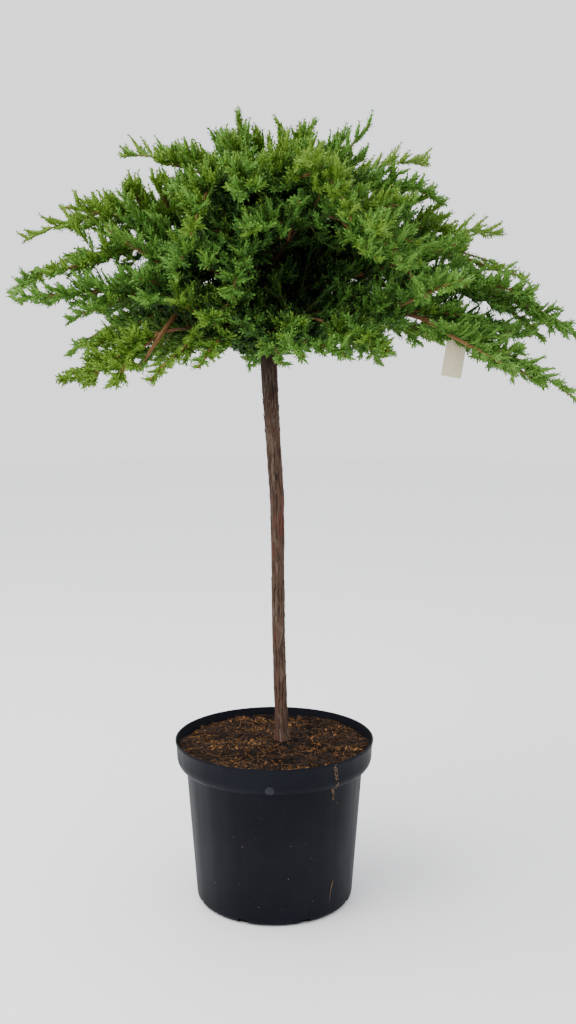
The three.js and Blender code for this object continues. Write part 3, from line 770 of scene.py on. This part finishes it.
def bark_relief(around, along, columns, salt):
    """Height of the bark over a turn and a length, from 0 in a crack to 1 on a strip."""
    drift = sum(
        amount * smooth_noise(around, along / length, bends, salt + number)
        for number, (amount, length, bends) in enumerate(CRACK_DRIFTS)
    )
    groove = (1 - np.abs(2 * ((around * columns + drift) % 1) - 1)) ** CRACK_SHARPNESS
    depth = np.sqrt(smooth_noise(around, along / CRACK_LENGTH, columns, salt + 2))
    grain = smooth_noise(around, along / GRAIN_LENGTH, columns * 2, salt + 3)
    return np.clip(STRIP_LEVEL + GRAIN_DEPTH * (grain - 0.5) - CRACK_DEPTH * groove * depth, 0, 1)


def bark_height(relief, radius, depth, flush, full_radius):
    """How far the bark stands out from the wood's own radius."""
    return depth * (relief - flush) * np.clip(radius / full_radius, LEAST_RELIEF, 1)


def store(piece, name, values):
    attribute = piece.data.attributes.new(name, "FLOAT", "POINT")
    attribute.data.foreach_set("value", values.astype(np.float32).ravel())


def make_trunk():
    heights = np.arange(TRUNK[0, 0], TRUNK[-1, 0], TRUNK_RING_STEP)
    around = np.arange(TRUNK_SIDES) / TRUNK_SIDES
    height, share = np.meshgrid(heights, around, indexing="ij")
    relief = bark_relief(share, height, TRUNK_STRIPS, 5)
    flare = FLARE_DEPTH * np.exp((GROUND - height) / FLARE_FADE)
    turn = share * 2 * np.pi
    size = trunk_radius(height) * (1 + flare * np.cos(turn * FLARE_LOBES))
    knots = KNOT_HEIGHT * (smooth_noise(share, height / KNOT_LENGTH, KNOTS_AROUND, 21) - 0.5)
    size = size + knots + bark_height(relief, size, *TRUNK_RELIEF)
    points = trunk_centre(height) + turned(360 * share) * size[..., None]
    bark = bark_material("trunk_bark", *TRUNK_COLOURS, 1.0)
    faces = grid_faces(1, len(heights), TRUNK_SIDES)
    piece = make_piece("trunk_bark", points, faces, bark, ["trunk"])
    store(piece, "relief", relief)
    # Painted shade of the crown, more with height
    store(piece, "crown_shade", np.interp(height, *TRUNK_SHADE))


def make_flakes():
    """Thin strips of old bark, each lifting off the trunk at its upper end."""
    number = np.arange(FLAKE_COUNT)[:, None]
    draw = draws(number, 31)
    share = np.linspace(0, 1, len(FLAKE_OUTLINE))
    height = mix(*FLAKE_HEIGHTS, draw(2)) + mix(*FLAKE_LENGTHS, draw(1) ** 2) * share
    turn = 360 * draw(3) + FLAKE_SWAY * np.sin(3 * share + number)
    lift = mix(*FLAKE_LIFTS, draw(4) * share ** 3)
    middles = trunk_centre(height) + turned(turn) * (trunk_radius(height) + lift)[..., None]
    wide = turned(turn + 90) * (mix(*FLAKE_WIDTHS, draw(5)) / 2 * FLAKE_OUTLINE)[..., None]
    points, faces = ribbons(middles, wide, turned(turn) * FLAKE_DEPTH)
    make_piece("bark_flakes", points, faces, plain("old_bark", FLAKE_COLOUR), ["trunk"])


def make_boughs():
    owner, share = np.meshgrid(EVERY_BOUGH, np.linspace(0, BOUGH_END, BOUGH_RINGS), indexing="ij")
    centres = bough_point(owner, share)
    radii = bough_radius(owner, share)
    from_trunk = REACH[owner] * share - trunk_radius(BASE[owner])
    radii = radii * (1 + SWELLING * np.exp(-np.maximum(from_trunk, 0) / SWELLING_FADE))
    grid = tube_grid(centres, radii, BOUGH_SIDES)
    around = np.arange(BOUGH_SIDES) / BOUGH_SIDES
    along = (REACH[owner] * share)[..., None]
    relief = bark_relief(around + 0 * along, along + BARK_SHIFT * owner[..., None], BOUGH_STRIPS, 9)
    proud = bark_height(relief, radii[..., None], *BOUGH_RELIEF)
    grid = grid + unit(grid - centres[:, :, None]) * proud[..., None]
    bark = bark_material("bough_bark", *BOUGH_COLOURS, 2.2)
    faces = grid_faces(len(BOUGHS), BOUGH_RINGS, BOUGH_SIDES)
    piece = make_piece("bough_bark", grid, faces, bark, nodes_named("bough_"))
    store(piece, "relief", relief)
    # Painted shade inside the crown, darkest where the bough leaves the trunk
    store(piece, "crown_shade", np.repeat(1 - share / SHADED_SHARE, BOUGH_SIDES).reshape(share.shape + (-1,)))


# Foliage

Shoots = namedtuple("Shoots", "root along bend length tint")


def shoot_direction(parent, side, angle, lift):
    """Direction of a side shoot that leaves its parent at an angle, turned about it and lifted."""
    across = frames(parent)[0] * side[:, None]
    level = (np.sin(angle) * np.cos(lift))[:, None]
    upward = (np.sin(angle) * np.sin(lift))[:, None]
    return unit(parent * np.cos(angle)[:, None] + across * level + UP * upward)


def place_on(shoots, owner, share):
    run = shoots.length[owner][:, None]
    share = share[:, None]
    point = shoots.root[owner] + run * (shoots.along[owner] * share + shoots.bend[owner] * share ** 2)
    return point, unit(shoots.along[owner] + 2 * shoots.bend[owner] * share)


def set_out(lengths, spacing, span, salt):
    """Owner, order and share of evenly spaced places along many lengths."""
    first, last = span
    counts = np.maximum(1, np.round(lengths * (last - first) / spacing)).astype(int)
    owner = np.repeat(np.arange(len(counts)), counts)
    order = np.arange(counts.sum()) - np.repeat(np.cumsum(counts) - counts, counts)
    share = (order + JITTER_FROM + JITTER_SPREAD * chance(owner, order, salt)) / counts[owner]
    return owner, order, mix(first, last, share)


def branch(place, lengths, tints, growth, salt, is_young=False):
    """Side shoots on the lengths given, on each side by turns and mostly above."""
    owner, order, share = set_out(lengths, growth.spacing, growth.span, salt)
    root, parent = place(owner, share)
    side = np.where(order % 2 == 0, 1, -1)
    angle, lift, size, *own = (chance(owner, order, salt + key) for key in range(1, 6))
    angle = np.radians(mix(*growth.angle, angle))
    lift = mix(*growth.lift, lift) + np.interp(root[:, 2], VIGOUR_HEIGHTS, VIGOUR_LIFT)
    size = mix(*SIZE_SPREAD, size)
    if not is_young:
        size = size * np.interp(root[:, 2], VIGOUR_HEIGHTS, VIGOUR_GROWTH)
    along = shoot_direction(parent, side, angle, np.radians(lift))
    grown = growth.least + growth.slope * lengths[owner] * (1 - share)
    rise = mix(*growth.rise, share)[:, None] * UP
    length = np.minimum(grown, growth.most) * size
    tint = mix(tints[owner], np.transpose(own), growth.own_tint)
    return Shoots(root, along, PARENT_PULL * parent + rise, length, tint)


def inside_crown(points):
    out = np.hypot(points[:, 0] - CROWN_MIDDLE, points[:, 1])
    skirt = SKIRT_TOP + SKIRT_TILT * points[:, 0] - SKIRT_FALL * out ** 2
    return (points[:, 2] < CROWN_TOP - CROWN_FALL * out ** CROWN_POWER) & (points[:, 2] > skirt)


def off_trunk(points):
    centre = trunk_centre(points[:, 2])
    return np.hypot(*(points - centre)[:, :2].T) > trunk_radius(points[:, 2]) + TRUNK_CLEARANCE


def off_openings(points):
    clear = np.full(len(points), True)
    for middle, half in OPENINGS.values():
        clear &= np.linalg.norm((points - np.array(middle)) / half, axis=1) > 1
    return clear


def kept(shoots, keep):
    return Shoots(*(field[keep] for field in shoots))


def joined(*kinds):
    return Shoots(*(np.concatenate(fields) for fields in zip(*kinds)))


def ends(shoots):
    every = np.arange(len(shoots.length))
    return place_on(shoots, every, np.ones(len(every)))[0]


def fitted(shoots):
    """The shoots whose ends stay inside the crown's outline, off the trunk and out of its openings."""
    end = ends(shoots)
    return kept(shoots, inside_crown(end) & off_trunk(end) & off_openings(end))


def fingers_on(place, lengths, tints, span, salt):
    return branch(place, lengths, tints, FINGERS._replace(span=span), salt, is_young=True)


def leaders(place, lengths, tints):
    """The young end of every axis, as a finger of its own."""
    owner = np.arange(len(lengths))
    root = place(owner, np.maximum(1 - LEADER_LENGTH / lengths, LEADER_FROM))[0]
    run = place(owner, np.ones(len(owner)))[0] - root
    return Shoots(root, unit(run), 0 * run, np.linalg.norm(run, axis=1), tints)


def sky_seen(places, growth):
    """The share of the sky, from 0 to 1, that each place sees past all that grows there."""
    low = np.minimum(places.min(0), growth.min(0))
    cell = ((growth - low) / SKY_CELL).astype(int)
    size = cell.max(0) + 2
    filled = np.zeros(size)
    np.add.at(filled, tuple(cell.T), 1)
    home = ((places - low) / SKY_CELL).astype(int)
    seen = np.zeros(len(places))
    turns = np.radians(np.arange(0, 360, SKY_TURN))
    for height in np.radians(SKY_HEIGHTS):
        for turn in turns:
            way = np.array([np.cos(height) * np.cos(turn), np.cos(height) * np.sin(turn), np.sin(height)])
            passed = np.zeros(len(places))
            for step in range(1, SKY_STEPS):
                at = home + np.round(way * step).astype(int)
                within = np.all((at >= 0) & (at < size), axis=1)
                passed += filled[tuple(np.clip(at, 0, size - 1).T)] * within
            seen += np.exp(-passed / SKY_FADE)
    return seen / (len(SKY_HEIGHTS) * len(turns))


def axes_of(shoots):
    """What grows on shoots needs to know: their places, lengths and tints."""
    return lambda owner, share: place_on(shoots, owner, share), shoots.length, shoots.tint


def placed_plumes(tints):
    boughs, share, *tip = zip(*PLUMES)
    owner = np.array([list(BOUGHS).index(bough) for bough in boughs])
    root = bough_point(owner, np.array(share))
    way = np.transpose(tip) - root
    sag = np.repeat([[0, 0, -PLUME_SAG]], len(owner), axis=0)
    return Shoots(root, unit(way) - sag, sag, np.linalg.norm(way, axis=1), tints[owner])


def grow_foliage():
    """Branches on the boughs, shoots on both, and fingers on all of them, each kind with its salt."""
    # Painted light: the salts of the first draw, which lightens or darkens each bough's sprays, were picked
    # so that the boughs on the left come out lighter
    own = np.stack([chance(EVERY_BOUGH, 29, 5), chance(EVERY_BOUGH, 4, 1)], -1)
    boughs = bough_place, REACH, own
    branches = joined(fitted(branch(*boughs, BRANCHES, 11)), placed_plumes(own))
    leafy, bare = kept(branches, LEAFY), kept(branches, BARE)
    shoots = fitted(joined(
        branch(*boughs, SHOOTS, 21),
        branch(*boughs, INNER_SHOOTS, 26),
        branch(*axes_of(leafy), SHOOTS, 31),
        branch(*axes_of(bare), SHOOTS._replace(span=BARE_STEM_YOUNG), 31),
    ))
    fingers = joined(
        fingers_on(*boughs, LEADER_SPAN, 41),
        fingers_on(*axes_of(leafy), LEADER_SPAN, 51),
        fingers_on(*axes_of(bare), BARE_STEM_YOUNG, 51),
        fingers_on(*axes_of(shoots), FINGERS.span, 61),
    )
    fingers = kept(fingers, off_trunk(ends(fingers)) & off_openings(ends(fingers)))
    fingers = joined(fingers, leaders(*boughs), leaders(*axes_of(branches)), leaders(*axes_of(shoots)))
    light = sky_seen(ends(fingers), ends(fingers))
    number = np.arange(len(light))
    return own, branches, shoots, kept(fingers, light > SHADE_LIMIT * chance(number, 5, 2))


def needle_arrays(point, along, share, roll):
    """Four corners of each needle: a blade folded along its middle, three to a whorl."""
    across, lift = frames(along)
    turn = (roll * 2 * np.pi)[:, None] + np.arange(WHORL) * 2 * np.pi / WHORL
    out = across[:, None] * np.cos(turn)[..., None] + lift[:, None] * np.sin(turn)[..., None]
    angle = np.radians(mix(OPEN_ANGLE, CLOSED_ANGLE, share ** 2))[:, None]
    angle = angle * mix(*ANGLE_SPREAD, chance(turn, 3, 5))
    direction = along[:, None] * np.cos(angle)[..., None] + out * np.sin(angle)[..., None]
    length = NEEDLE_LENGTH * mix(1, NEEDLE_TIP_LENGTH, share ** 2)[:, None]
    length = length * mix(*NEEDLE_LENGTHS, chance(turn, 7, 2))
    base = point[:, None] + out * NEEDLE_FOOT
    tip = base + direction * length[..., None]
    wide = unit(np.cross(direction, out)) * NEEDLE_WIDTH / 2
    keel = np.cross(wide, direction) / (NEEDLE_WIDTH / 2) * NEEDLE_KEEL
    middle = base + direction * (length * NEEDLE_WIDEST)[..., None] + keel
    return np.stack([base, middle + wide, tip, middle - wide], 2).reshape(-1, 4, 3)


def light_on(tips, tints, growth, salt):
    """How light each axis is painted, from 0 to 1: painted light and shade from the sky that its end sees,
    and its spray's tint.
    """
    own = chance(np.arange(len(tips)), salt, 7)
    by_tint = TONE_BY_SPRAY * (tints[:, 0] - 0.5) + TONE_BY_AXIS * (own - 0.5)
    # Painted light and shade: the more sky an axis's end sees, the lighter its needles
    return TONE_BY_SKY * sky_seen(tips, growth) ** SKY_POWER + by_tint


def tone_number(light, tints):
    """The number of a tone in tone_colours."""
    tone = np.clip(light * len(NEEDLE_TONES), 0, len(NEEDLE_TONES) - 1).astype(int)
    return tone * len(TINTS) + (tints[:, 1] > 0.5)


def make_foliage(bough_tints, branches, shoots, fingers):
    """Needles on every young axis and a core in every finger, toned axis by axis with painted light and
    shade. Fingers come last, so that the light is theirs when the cores are toned."""
    growth = ends(fingers)
    leafy = kept(branches, LEAFY)
    bough_ends = bough_point(EVERY_BOUGH, np.ones(len(BOUGHS)))
    kinds = [
        (bough_place, REACH, bough_tints, bough_ends, 71),
        (*axes_of(leafy), ends(leafy), 76),
        (*axes_of(shoots), ends(shoots), 81),
        (*axes_of(fingers), growth, 91),
    ]
    corners, tones = [], []
    for (place, lengths, tints, tips, salt), span in zip(kinds, NEEDLE_SPANS):
        owner, order, share = set_out(lengths, WHORL_SPACING, span, salt)
        point, along = place(owner, share)
        corners.append(needle_arrays(point, along, share, chance(owner, order, salt + 1)))
        light = light_on(tips, tints, growth, salt)
        # Lighter towards the tip of each axis: younger needles there, with painted shade towards its root
        tone = tone_number(light[owner] + TONE_BY_TIP * (share - TONE_MIDDLE), tints[owner])
        tones.append(np.repeat(tone, WHORL))
    corners, tones = np.concatenate(corners), np.concatenate(tones)
    # Painted shade: each finger's core is toned a little darker than its light, as the shaded inside of the
    # finger
    core_tones = tone_number(light - CORE_SHADE, fingers.tint)
    for index, (name, colour) in enumerate(tone_colours()):
        material = plain(f"needle_green_{name}", colour, NEEDLE_ROUGHNESS)
        some = corners[tones == index]
        for part in range(0, len(some), MOST_NEEDLES):
            needle_piece(f"needles_{name}_{part // MOST_NEEDLES}", some[part:part + MOST_NEEDLES], material)
        cores = kept(fingers, core_tones == index)
        make_twigs(f"fingers_{name}", cores, CORE_TAPER, THIN_SIDES, CORE_RADIUS, material)


def tone_colours():
    """Names and colours of every tone, cool and warm by turns."""
    for index, colour in enumerate(NEEDLE_TONES):
        for tint, change in TINTS.items():
            yield f"{tint}_{index}", np.array(colour) * change


def needle_piece(name, corners, material):
    first = np.arange(len(corners))[:, None] * 4
    faces = (first[:, None] + np.array([[0, 1, 2], [0, 2, 3]])).reshape(-1, 3)
    make_piece(name, corners, faces, material, nodes_named("foliage_"), smooth=False)


def make_twigs(name, shoots, taper, sides, radius, material):
    """Tubes along the shoots, their radius following the shares in taper."""
    count, rings = len(shoots.length), len(taper)
    share = np.linspace(0, 1, rings)
    path = place_on(shoots, np.repeat(np.arange(count), rings), np.tile(share, count))[0]
    radii = np.broadcast_to(np.reshape(radius, (-1, 1)) * np.array(taper), (count, rings))
    points, faces = tubes(path.reshape(count, rings, 3), radii, sides)
    make_piece(name, points, faces, material, nodes_named("foliage_"))


def make_branches(branches):
    radii = np.minimum(BRANCH_RADIUS + BRANCH_GAIN * branches.length, BRANCH_MOST)
    radii[BARE] = BARE_STEM_RADIUS
    bark = plain("branch_bark", BRANCH_COLOUR, TWIG_ROUGHNESS)
    make_twigs("branches", branches, BRANCH_TAPER, BRANCH_SIDES, radii, bark)


def make_shoots(shoots):
    bark = plain("shoot_bark", SHOOT_COLOUR, TWIG_ROUGHNESS)
    make_twigs("shoots", shoots, SHOOT_TAPER, THIN_SIDES, SHOOT_RADIUS, bark)


# Pot


def lathe(profile, sides):
    """Points and faces of a closed profile of (radius, height) turned round the middle."""
    out = turned(np.arange(sides) / sides * 360)
    points = np.array([out * radius + UP * height for radius, height in profile])
    return points, grid_faces(1, len(profile), sides)


def rounding(radius, height, out, up, step):
    """A quarter of an ellipse that leaves level and ends upright, a point for each step in degrees."""
    turns = np.radians(np.arange(step, 91, step))
    return [(radius + out * np.sin(turn), height + up * (1 - np.cos(turn))) for turn in turns]


def lip(steps):
    return [(POT_RIM_RADIUS - inward, POT_HEIGHT - down) for inward, down in steps]


def pot_outside():
    """The pot's outer outline from the middle of its underside to its rim."""
    overhang = COLLAR_RADIUS - BODY_TOP_RADIUS + COLLAR_FLARE
    return [
        (NEAR_AXIS, 0),
        (FLAT_RADIUS, 0),
        *rounding(FLAT_RADIUS, 0, EDGE_ROUNDING, EDGE_ROUNDING, 10),
        (BODY_TOP_RADIUS, COLLAR_FOOT),
        *rounding(BODY_TOP_RADIUS, COLLAR_FOOT, overhang, COLLAR_ROUNDING, 9),
        *lip(LIP_OUTSIDE),
    ]


def pot_inside():
    return [
        *lip(LIP_INSIDE),
        (COLLAR_RADIUS - POT_WALL, COLLAR_FOOT + COLLAR_ROUNDING),
        (BODY_TOP_RADIUS - POT_WALL, COLLAR_FOOT),
        (POT_BASE_RADIUS - POT_WALL, EDGE_ROUNDING),
        (FLAT_RADIUS, POT_FLOOR),
        (NEAR_AXIS, POT_FLOOR),
    ]


def wall_point(azimuth, height, proud):
    """A place on the pot's outer wall, or proud of it."""
    radius, level = np.array(pot_outside()[2:]).T
    out = turned(np.asarray(azimuth, float))
    return out * (np.interp(height, level, radius) + proud)[..., None] + UP * height[..., None]


def drain_cutters():
    """A box for each drain slot through the edge of the base."""
    points, faces = [], []
    box = np.array([[3, 2, 1, 0], [4, 5, 6, 7], [0, 1, 5, 4], [1, 2, 6, 5], [2, 3, 7, 6], [3, 0, 4, 7]])
    for k in range(DRAIN_COUNT):
        azimuth = (k + 0.5) / DRAIN_COUNT * 360
        out, side = turned(azimuth), turned(azimuth + 90)
        faces.append(box + 8 * k)
        for height in (-DRAIN_DROP, DRAIN_HEIGHT - DRAIN_DROP):
            for inward, across in ((1, -1), (-1, -1), (-1, 1), (1, 1)):
                radius = POT_BASE_RADIUS - inward * EDGE_ROUNDING
                points.append(out * radius + side * across * DRAIN_WIDTH / 2 + UP * height)
    return new_object("drain_cutters", np.array(points), np.concatenate(faces), smooth=False)


def cut(piece, cutter):
    modifier = piece.modifiers.new("slots", "BOOLEAN")
    modifier.object = cutter
    modifier.solver = "EXACT"
    depsgraph = bpy.context.evaluated_depsgraph_get()
    mesh = bpy.data.meshes.new_from_object(piece.evaluated_get(depsgraph))
    piece.modifiers.clear()
    piece.data = mesh
    bpy.data.objects.remove(cutter)


def make_pot():
    points, faces = lathe(pot_outside() + pot_inside(), POT_SIDES)
    pot = make_piece("pot_shell", points, faces, pot_material(), ["pot"])
    cut(pot, drain_cutters())


def make_spot():
    """The small blank disc moulded on the collar."""
    points, faces = lathe([(SPOT_RADIUS - inward, proud) for inward, proud in SPOT_PROFILE], SPOT_SIDES)
    low, high = wall_point(SPOT_AZIMUTH, SPOT_HEIGHT + np.array([-SPOT_RADIUS, SPOT_RADIUS]), 0)
    side, upward = turned(SPOT_AZIMUTH + 90), unit(high - low)
    points = (low + high) / 2 + points @ np.array([side, upward, np.cross(side, upward)])
    make_piece("pot_spot", points, faces, plain("worn_plastic", SPOT_COLOUR, 0.5), ["pot"])


def make_crumbs():
    """Crumbs and straws stuck to the outside of the pot."""
    streak = draws(np.arange(STREAK_COUNT), 41)
    speck = draws(np.arange(SPECK_COUNT), 42)
    azimuth = STREAK_AZIMUTH + STREAK_WIDTH * (streak(1) - 0.5) + STREAK_DRIFT * (1 - streak(2))
    lean = STREAK_LEAN * (streak(4) - 0.5)
    azimuth, height, length, lean = np.hstack([
        [azimuth, mix(*STREAK_HEIGHTS, streak(2)), mix(*STREAK_LENGTHS, streak(3)), lean],
        [360 * speck(1), mix(*SPECK_HEIGHTS, speck(2)), mix(*SPECK_LENGTHS, speck(3) ** 3), 180 * speck(4)],
        np.transpose(STRAWS),
    ])
    lean = np.radians(lean)
    out, side = turned(azimuth), turned(azimuth + 90)
    along = UP * np.cos(lean)[:, None] + side * np.sin(lean)[:, None]
    sizes = np.stack([length, np.clip(length * 0.5, *CRUMB_WIDTHS), 0 * length + CRUMB_DEPTH], -1)
    points, faces = slivers(wall_point(azimuth, height, CRUMB_GAP), along, out, sizes)
    material = plain("crumbs", CRUMB_COLOUR)
    make_piece("pot_crumbs", points, faces, material, ["pot"], smooth=False)


# Soil


def soil_noise(x, y, size, salt):
    """Smooth noise from 0 to 1 over the soil, in patches of this size."""
    across, onward = x + SOIL_FIELD / 2, y + SOIL_FIELD / 2
    return smooth_noise(across / SOIL_FIELD, onward / size, int(SOIL_FIELD / size), salt)


def soil_height(x, y):
    """Height of the soil and its roughness, from about -1 to 1."""
    radius = np.hypot(x, y)
    rough = sum(amount * (soil_noise(x, y, size, salt) - 0.5) for amount, size, salt in SOIL_BUMPS)
    height = np.interp(radius, *zip(*SOIL_MOUND)) + rough * np.interp(radius, *SOIL_CALM)
    return height, rough / SOIL_FULL_RELIEF


def make_soil():
    radii = np.linspace(SOIL_TOP_RADIUS, 0, SOIL_RINGS)
    radius, turn = np.meshgrid(radii, np.arange(SOIL_SIDES) / SOIL_SIDES * 360, indexing="ij")
    top = turned(turn) * radius[..., None]
    height, rough = soil_height(top[..., 0], top[..., 1])
    top[..., 2] = height
    wall = [
        (FLAT_RADIUS, POT_FLOOR + SOIL_GAP),
        (POT_BASE_RADIUS - POT_WALL - SOIL_GAP, EDGE_ROUNDING),
        (BODY_TOP_RADIUS - POT_WALL - SOIL_GAP, COLLAR_FOOT),
        (COLLAR_RADIUS - POT_WALL - SOIL_COLLAR_GAP, COLLAR_FOOT + COLLAR_ROUNDING),
    ]
    side = np.array([turned(turn[0]) * out + UP * level for out, level in wall])
    points = np.concatenate([side, top])
    faces = grid_faces(1, len(points), SOIL_SIDES)
    piece = make_piece("soil_surface", points, faces, soil_material(), ["soil"])
    # The soil's sides get a middling relief, so the painted shade darkens them by about half
    store(piece, "relief", np.concatenate([np.full(side.shape[:2], 0.4), np.clip(0.5 + 0.5 * rough, 0, 1)]))


def soil_places(draw):
    """Places spread evenly over the soil, and a level direction for each."""
    radius = (COLLAR_RADIUS - LITTER_MARGIN) * np.sqrt(draw(1))
    places = turned(360 * draw(2)) * radius[:, None]
    places[:, 2] = soil_height(places[:, 0], places[:, 1])[0]
    return places, turned(360 * draw(3))


def make_chips():
    """Chips of bark and peat lying on the soil, in three tones."""
    draw = draws(np.arange(CHIP_COUNT), 51)
    places, level = soil_places(draw)
    places[:, 2] += CHIP_HEAP * draw(4) ** 2
    along = unit(level + UP * mix(*CHIP_TILTS, draw(5))[:, None])
    facing = unit(UP + CHIP_ROLL * turned(360 * draw(6)))
    length = mix(*CHIP_LENGTHS, draw(7) ** 2)
    width = length * mix(*CHIP_WIDTHS, draw(8))
    sizes = np.stack([length, width, mix(*CHIP_DEPTHS, level[:, 0] ** 2)], -1)
    patch = soil_noise(places[:, 0], places[:, 1], CHIP_PATCH, 7)
    tone = np.digitize(draw(9) + CHIP_PATCHINESS * (patch - 0.5), CHIP_SHARES)
    for index, colour in enumerate(CHIP_COLOURS):
        is_tone = tone == index
        points, faces = slivers(places[is_tone], along[is_tone], facing[is_tone], sizes[is_tone])
        material = plain(f"chips_{index}", colour)
        make_piece(f"soil_chips_{index}", points, faces, material, ["soil"], smooth=False)


def make_fibres():
    """Thin bent fibres on the soil."""
    draw = draws(np.arange(FIBRE_COUNT), 61)
    places, level = soil_places(draw)
    share = np.linspace(-0.5, 0.5, 5)[:, None]
    length = mix(*FIBRE_LENGTHS, draw(4) ** 2)[:, None, None]
    bend = turned(360 * draw(5))[:, None] * mix(*FIBRE_BENDS, draw(6))[:, None, None]
    rise = UP * mix(*FIBRE_RISES, draw(7))[:, None, None]
    run = (level[:, None] + rise) * share + bend * share ** 2
    path = places[:, None] + UP * FIBRE_LIFT + length * run
    reach = np.hypot(path[..., 0], path[..., 1]).max(1)
    path = path[reach < COLLAR_RADIUS - LITTER_MARGIN + 1]
    points, faces = tubes(path, np.full(path.shape[:2], FIBRE_RADIUS), THIN_SIDES)
    make_piece("soil_fibres", points, faces, plain("fibres", FIBRE_COLOUR), ["soil"])


# Tag


def tag_place():
    """The middle of the bough where the tag hangs, the bough's direction and the strap's radius."""
    owner = np.array([list(BOUGHS).index(TAG_BOUGH)])
    centre, along = (value[0] for value in bough_place(owner, np.array([TAG_SHARE])))
    return centre, along, bough_radius(owner, TAG_SHARE)[0] + STRAP_GAP


def tag_directions():
    """The card's own directions: across it, out of its face and up."""
    tilt, yaw = np.radians([TAG_TILT, TAG_YAW])
    across = np.array([np.cos(tilt) * np.cos(yaw), np.cos(tilt) * np.sin(yaw), -np.sin(tilt)])
    facing = np.array([-np.sin(yaw), np.cos(yaw), 0])
    return across, facing, np.cross(across, facing)


def make_card(material):
    """A blank card with rounded corners, bowed a little."""
    centre, _, loop = tag_place()
    across, facing, upward = tag_directions()
    middle = np.linspace(TAG_MIDDLE_FROM, TAG_HEIGHT - TAG_MIDDLE_FROM, TAG_MIDDLE_ROWS)
    down = np.concatenate([TAG_CORNER_ROWS, middle, TAG_HEIGHT - TAG_CORNER_ROWS[::-1]])
    corner = np.clip(TAG_CORNER - np.minimum(down, TAG_HEIGHT - down), 0, TAG_CORNER)
    half = TAG_WIDTH / 2 - (TAG_CORNER - np.sqrt(TAG_CORNER ** 2 - corner ** 2))
    thick = np.full(len(down), TAG_THICKNESS / 2)
    thick[[0, -1]] = 0
    columns = np.linspace(-1, 1, TAG_COLUMNS)
    skins = []
    for side, order in ((1, columns), (-1, columns[::-1])):
        out = side * thick[:, None] + TAG_BOW * (order ** 2 - 0.5)
        wide = half[:, None] * order
        fall = (loop + down)[:, None] + 0 * order
        skins.append(across * wide[..., None] + facing * out[..., None] - upward * fall[..., None])
    card = centre + np.concatenate(skins, 1)
    faces = grid_faces(1, len(down), 2 * len(columns))
    make_piece("tag_card", card, faces, material, ["hang_tag"], smooth=False)


def make_strap(material):
    """A narrow strap over the bough, with both ends on the card."""
    centre, along, loop = tag_place()
    _, facing, upward = tag_directions()
    level = unit(np.cross(along, UP))
    above = np.cross(level, along)
    turn = np.radians(STRAP_TURNS)[:, None]
    ring = centre + loop * (level * np.cos(turn) + above * np.sin(turn))
    sides = facing * np.array([[-STRAP_END], [STRAP_END]])
    first, last = centre - upward * (loop + STRAP_OVERLAP) + sides
    path = np.stack([first, *ring, last])[None]
    wide = along * STRAP_WIDTH / 2 + 0 * path
    points, faces = ribbons(path, wide, unit(path - centre) * STRAP_THICKNESS / 2)
    make_piece("tag_strap", points, faces, material, ["hang_tag"], smooth=False)


def make_tag():
    """The tag on the low bough on the right."""
    material = card_material()
    make_card(material)
    make_strap(material)


# Room


def make_stage():
    bpy.ops.mesh.primitive_circle_add(vertices=FLOOR_SIDES, radius=FLOOR_RADIUS, fill_type="NGON")
    floor = bpy.context.object
    floor.name = "floor"
    floor.data.materials.append(floor_material())


def make_lights():
    world = bpy.data.worlds.new("soft_room")
    bpy.context.scene.world = world
    world.use_nodes = True
    sky = world.node_tree.nodes["Background"]
    sky.inputs["Color"].default_value = (*ROOM_COLOUR, 1)
    sky.inputs["Strength"].default_value = ROOM_STRENGTH
    for name, (place, size, power) in LIGHTS.items():
        light = bpy.data.lights.new(name, "AREA")
        light.size = size
        light.energy = power
        lamp = add_object(name, light)
        lamp.location = place
        aim = Vector(np.subtract(LIGHT_AIM, place))
        lamp.rotation_euler = aim.to_track_quat("-Z", "Y").to_euler()


def make_camera():
    lens = bpy.data.cameras.new("camera")
    lens.sensor_width = CAMERA_SENSOR
    lens.lens = CAMERA_LENS
    camera = add_object("camera", lens)
    camera.location = CAMERA_PLACE
    camera.rotation_euler = (np.radians(90 - CAMERA_TILT), 0, 0)
    bpy.context.scene.camera = camera


make_camera()
make_lights()
make_stage()
make_pot()
make_spot()
make_crumbs()
make_soil()
make_chips()
make_fibres()
make_trunk()
make_flakes()
make_boughs()
make_tag()
bough_tints, branches, shoots, fingers = grow_foliage()
make_branches(branches)
make_shoots(shoots)
make_foliage(bough_tints, branches, shoots, fingers)
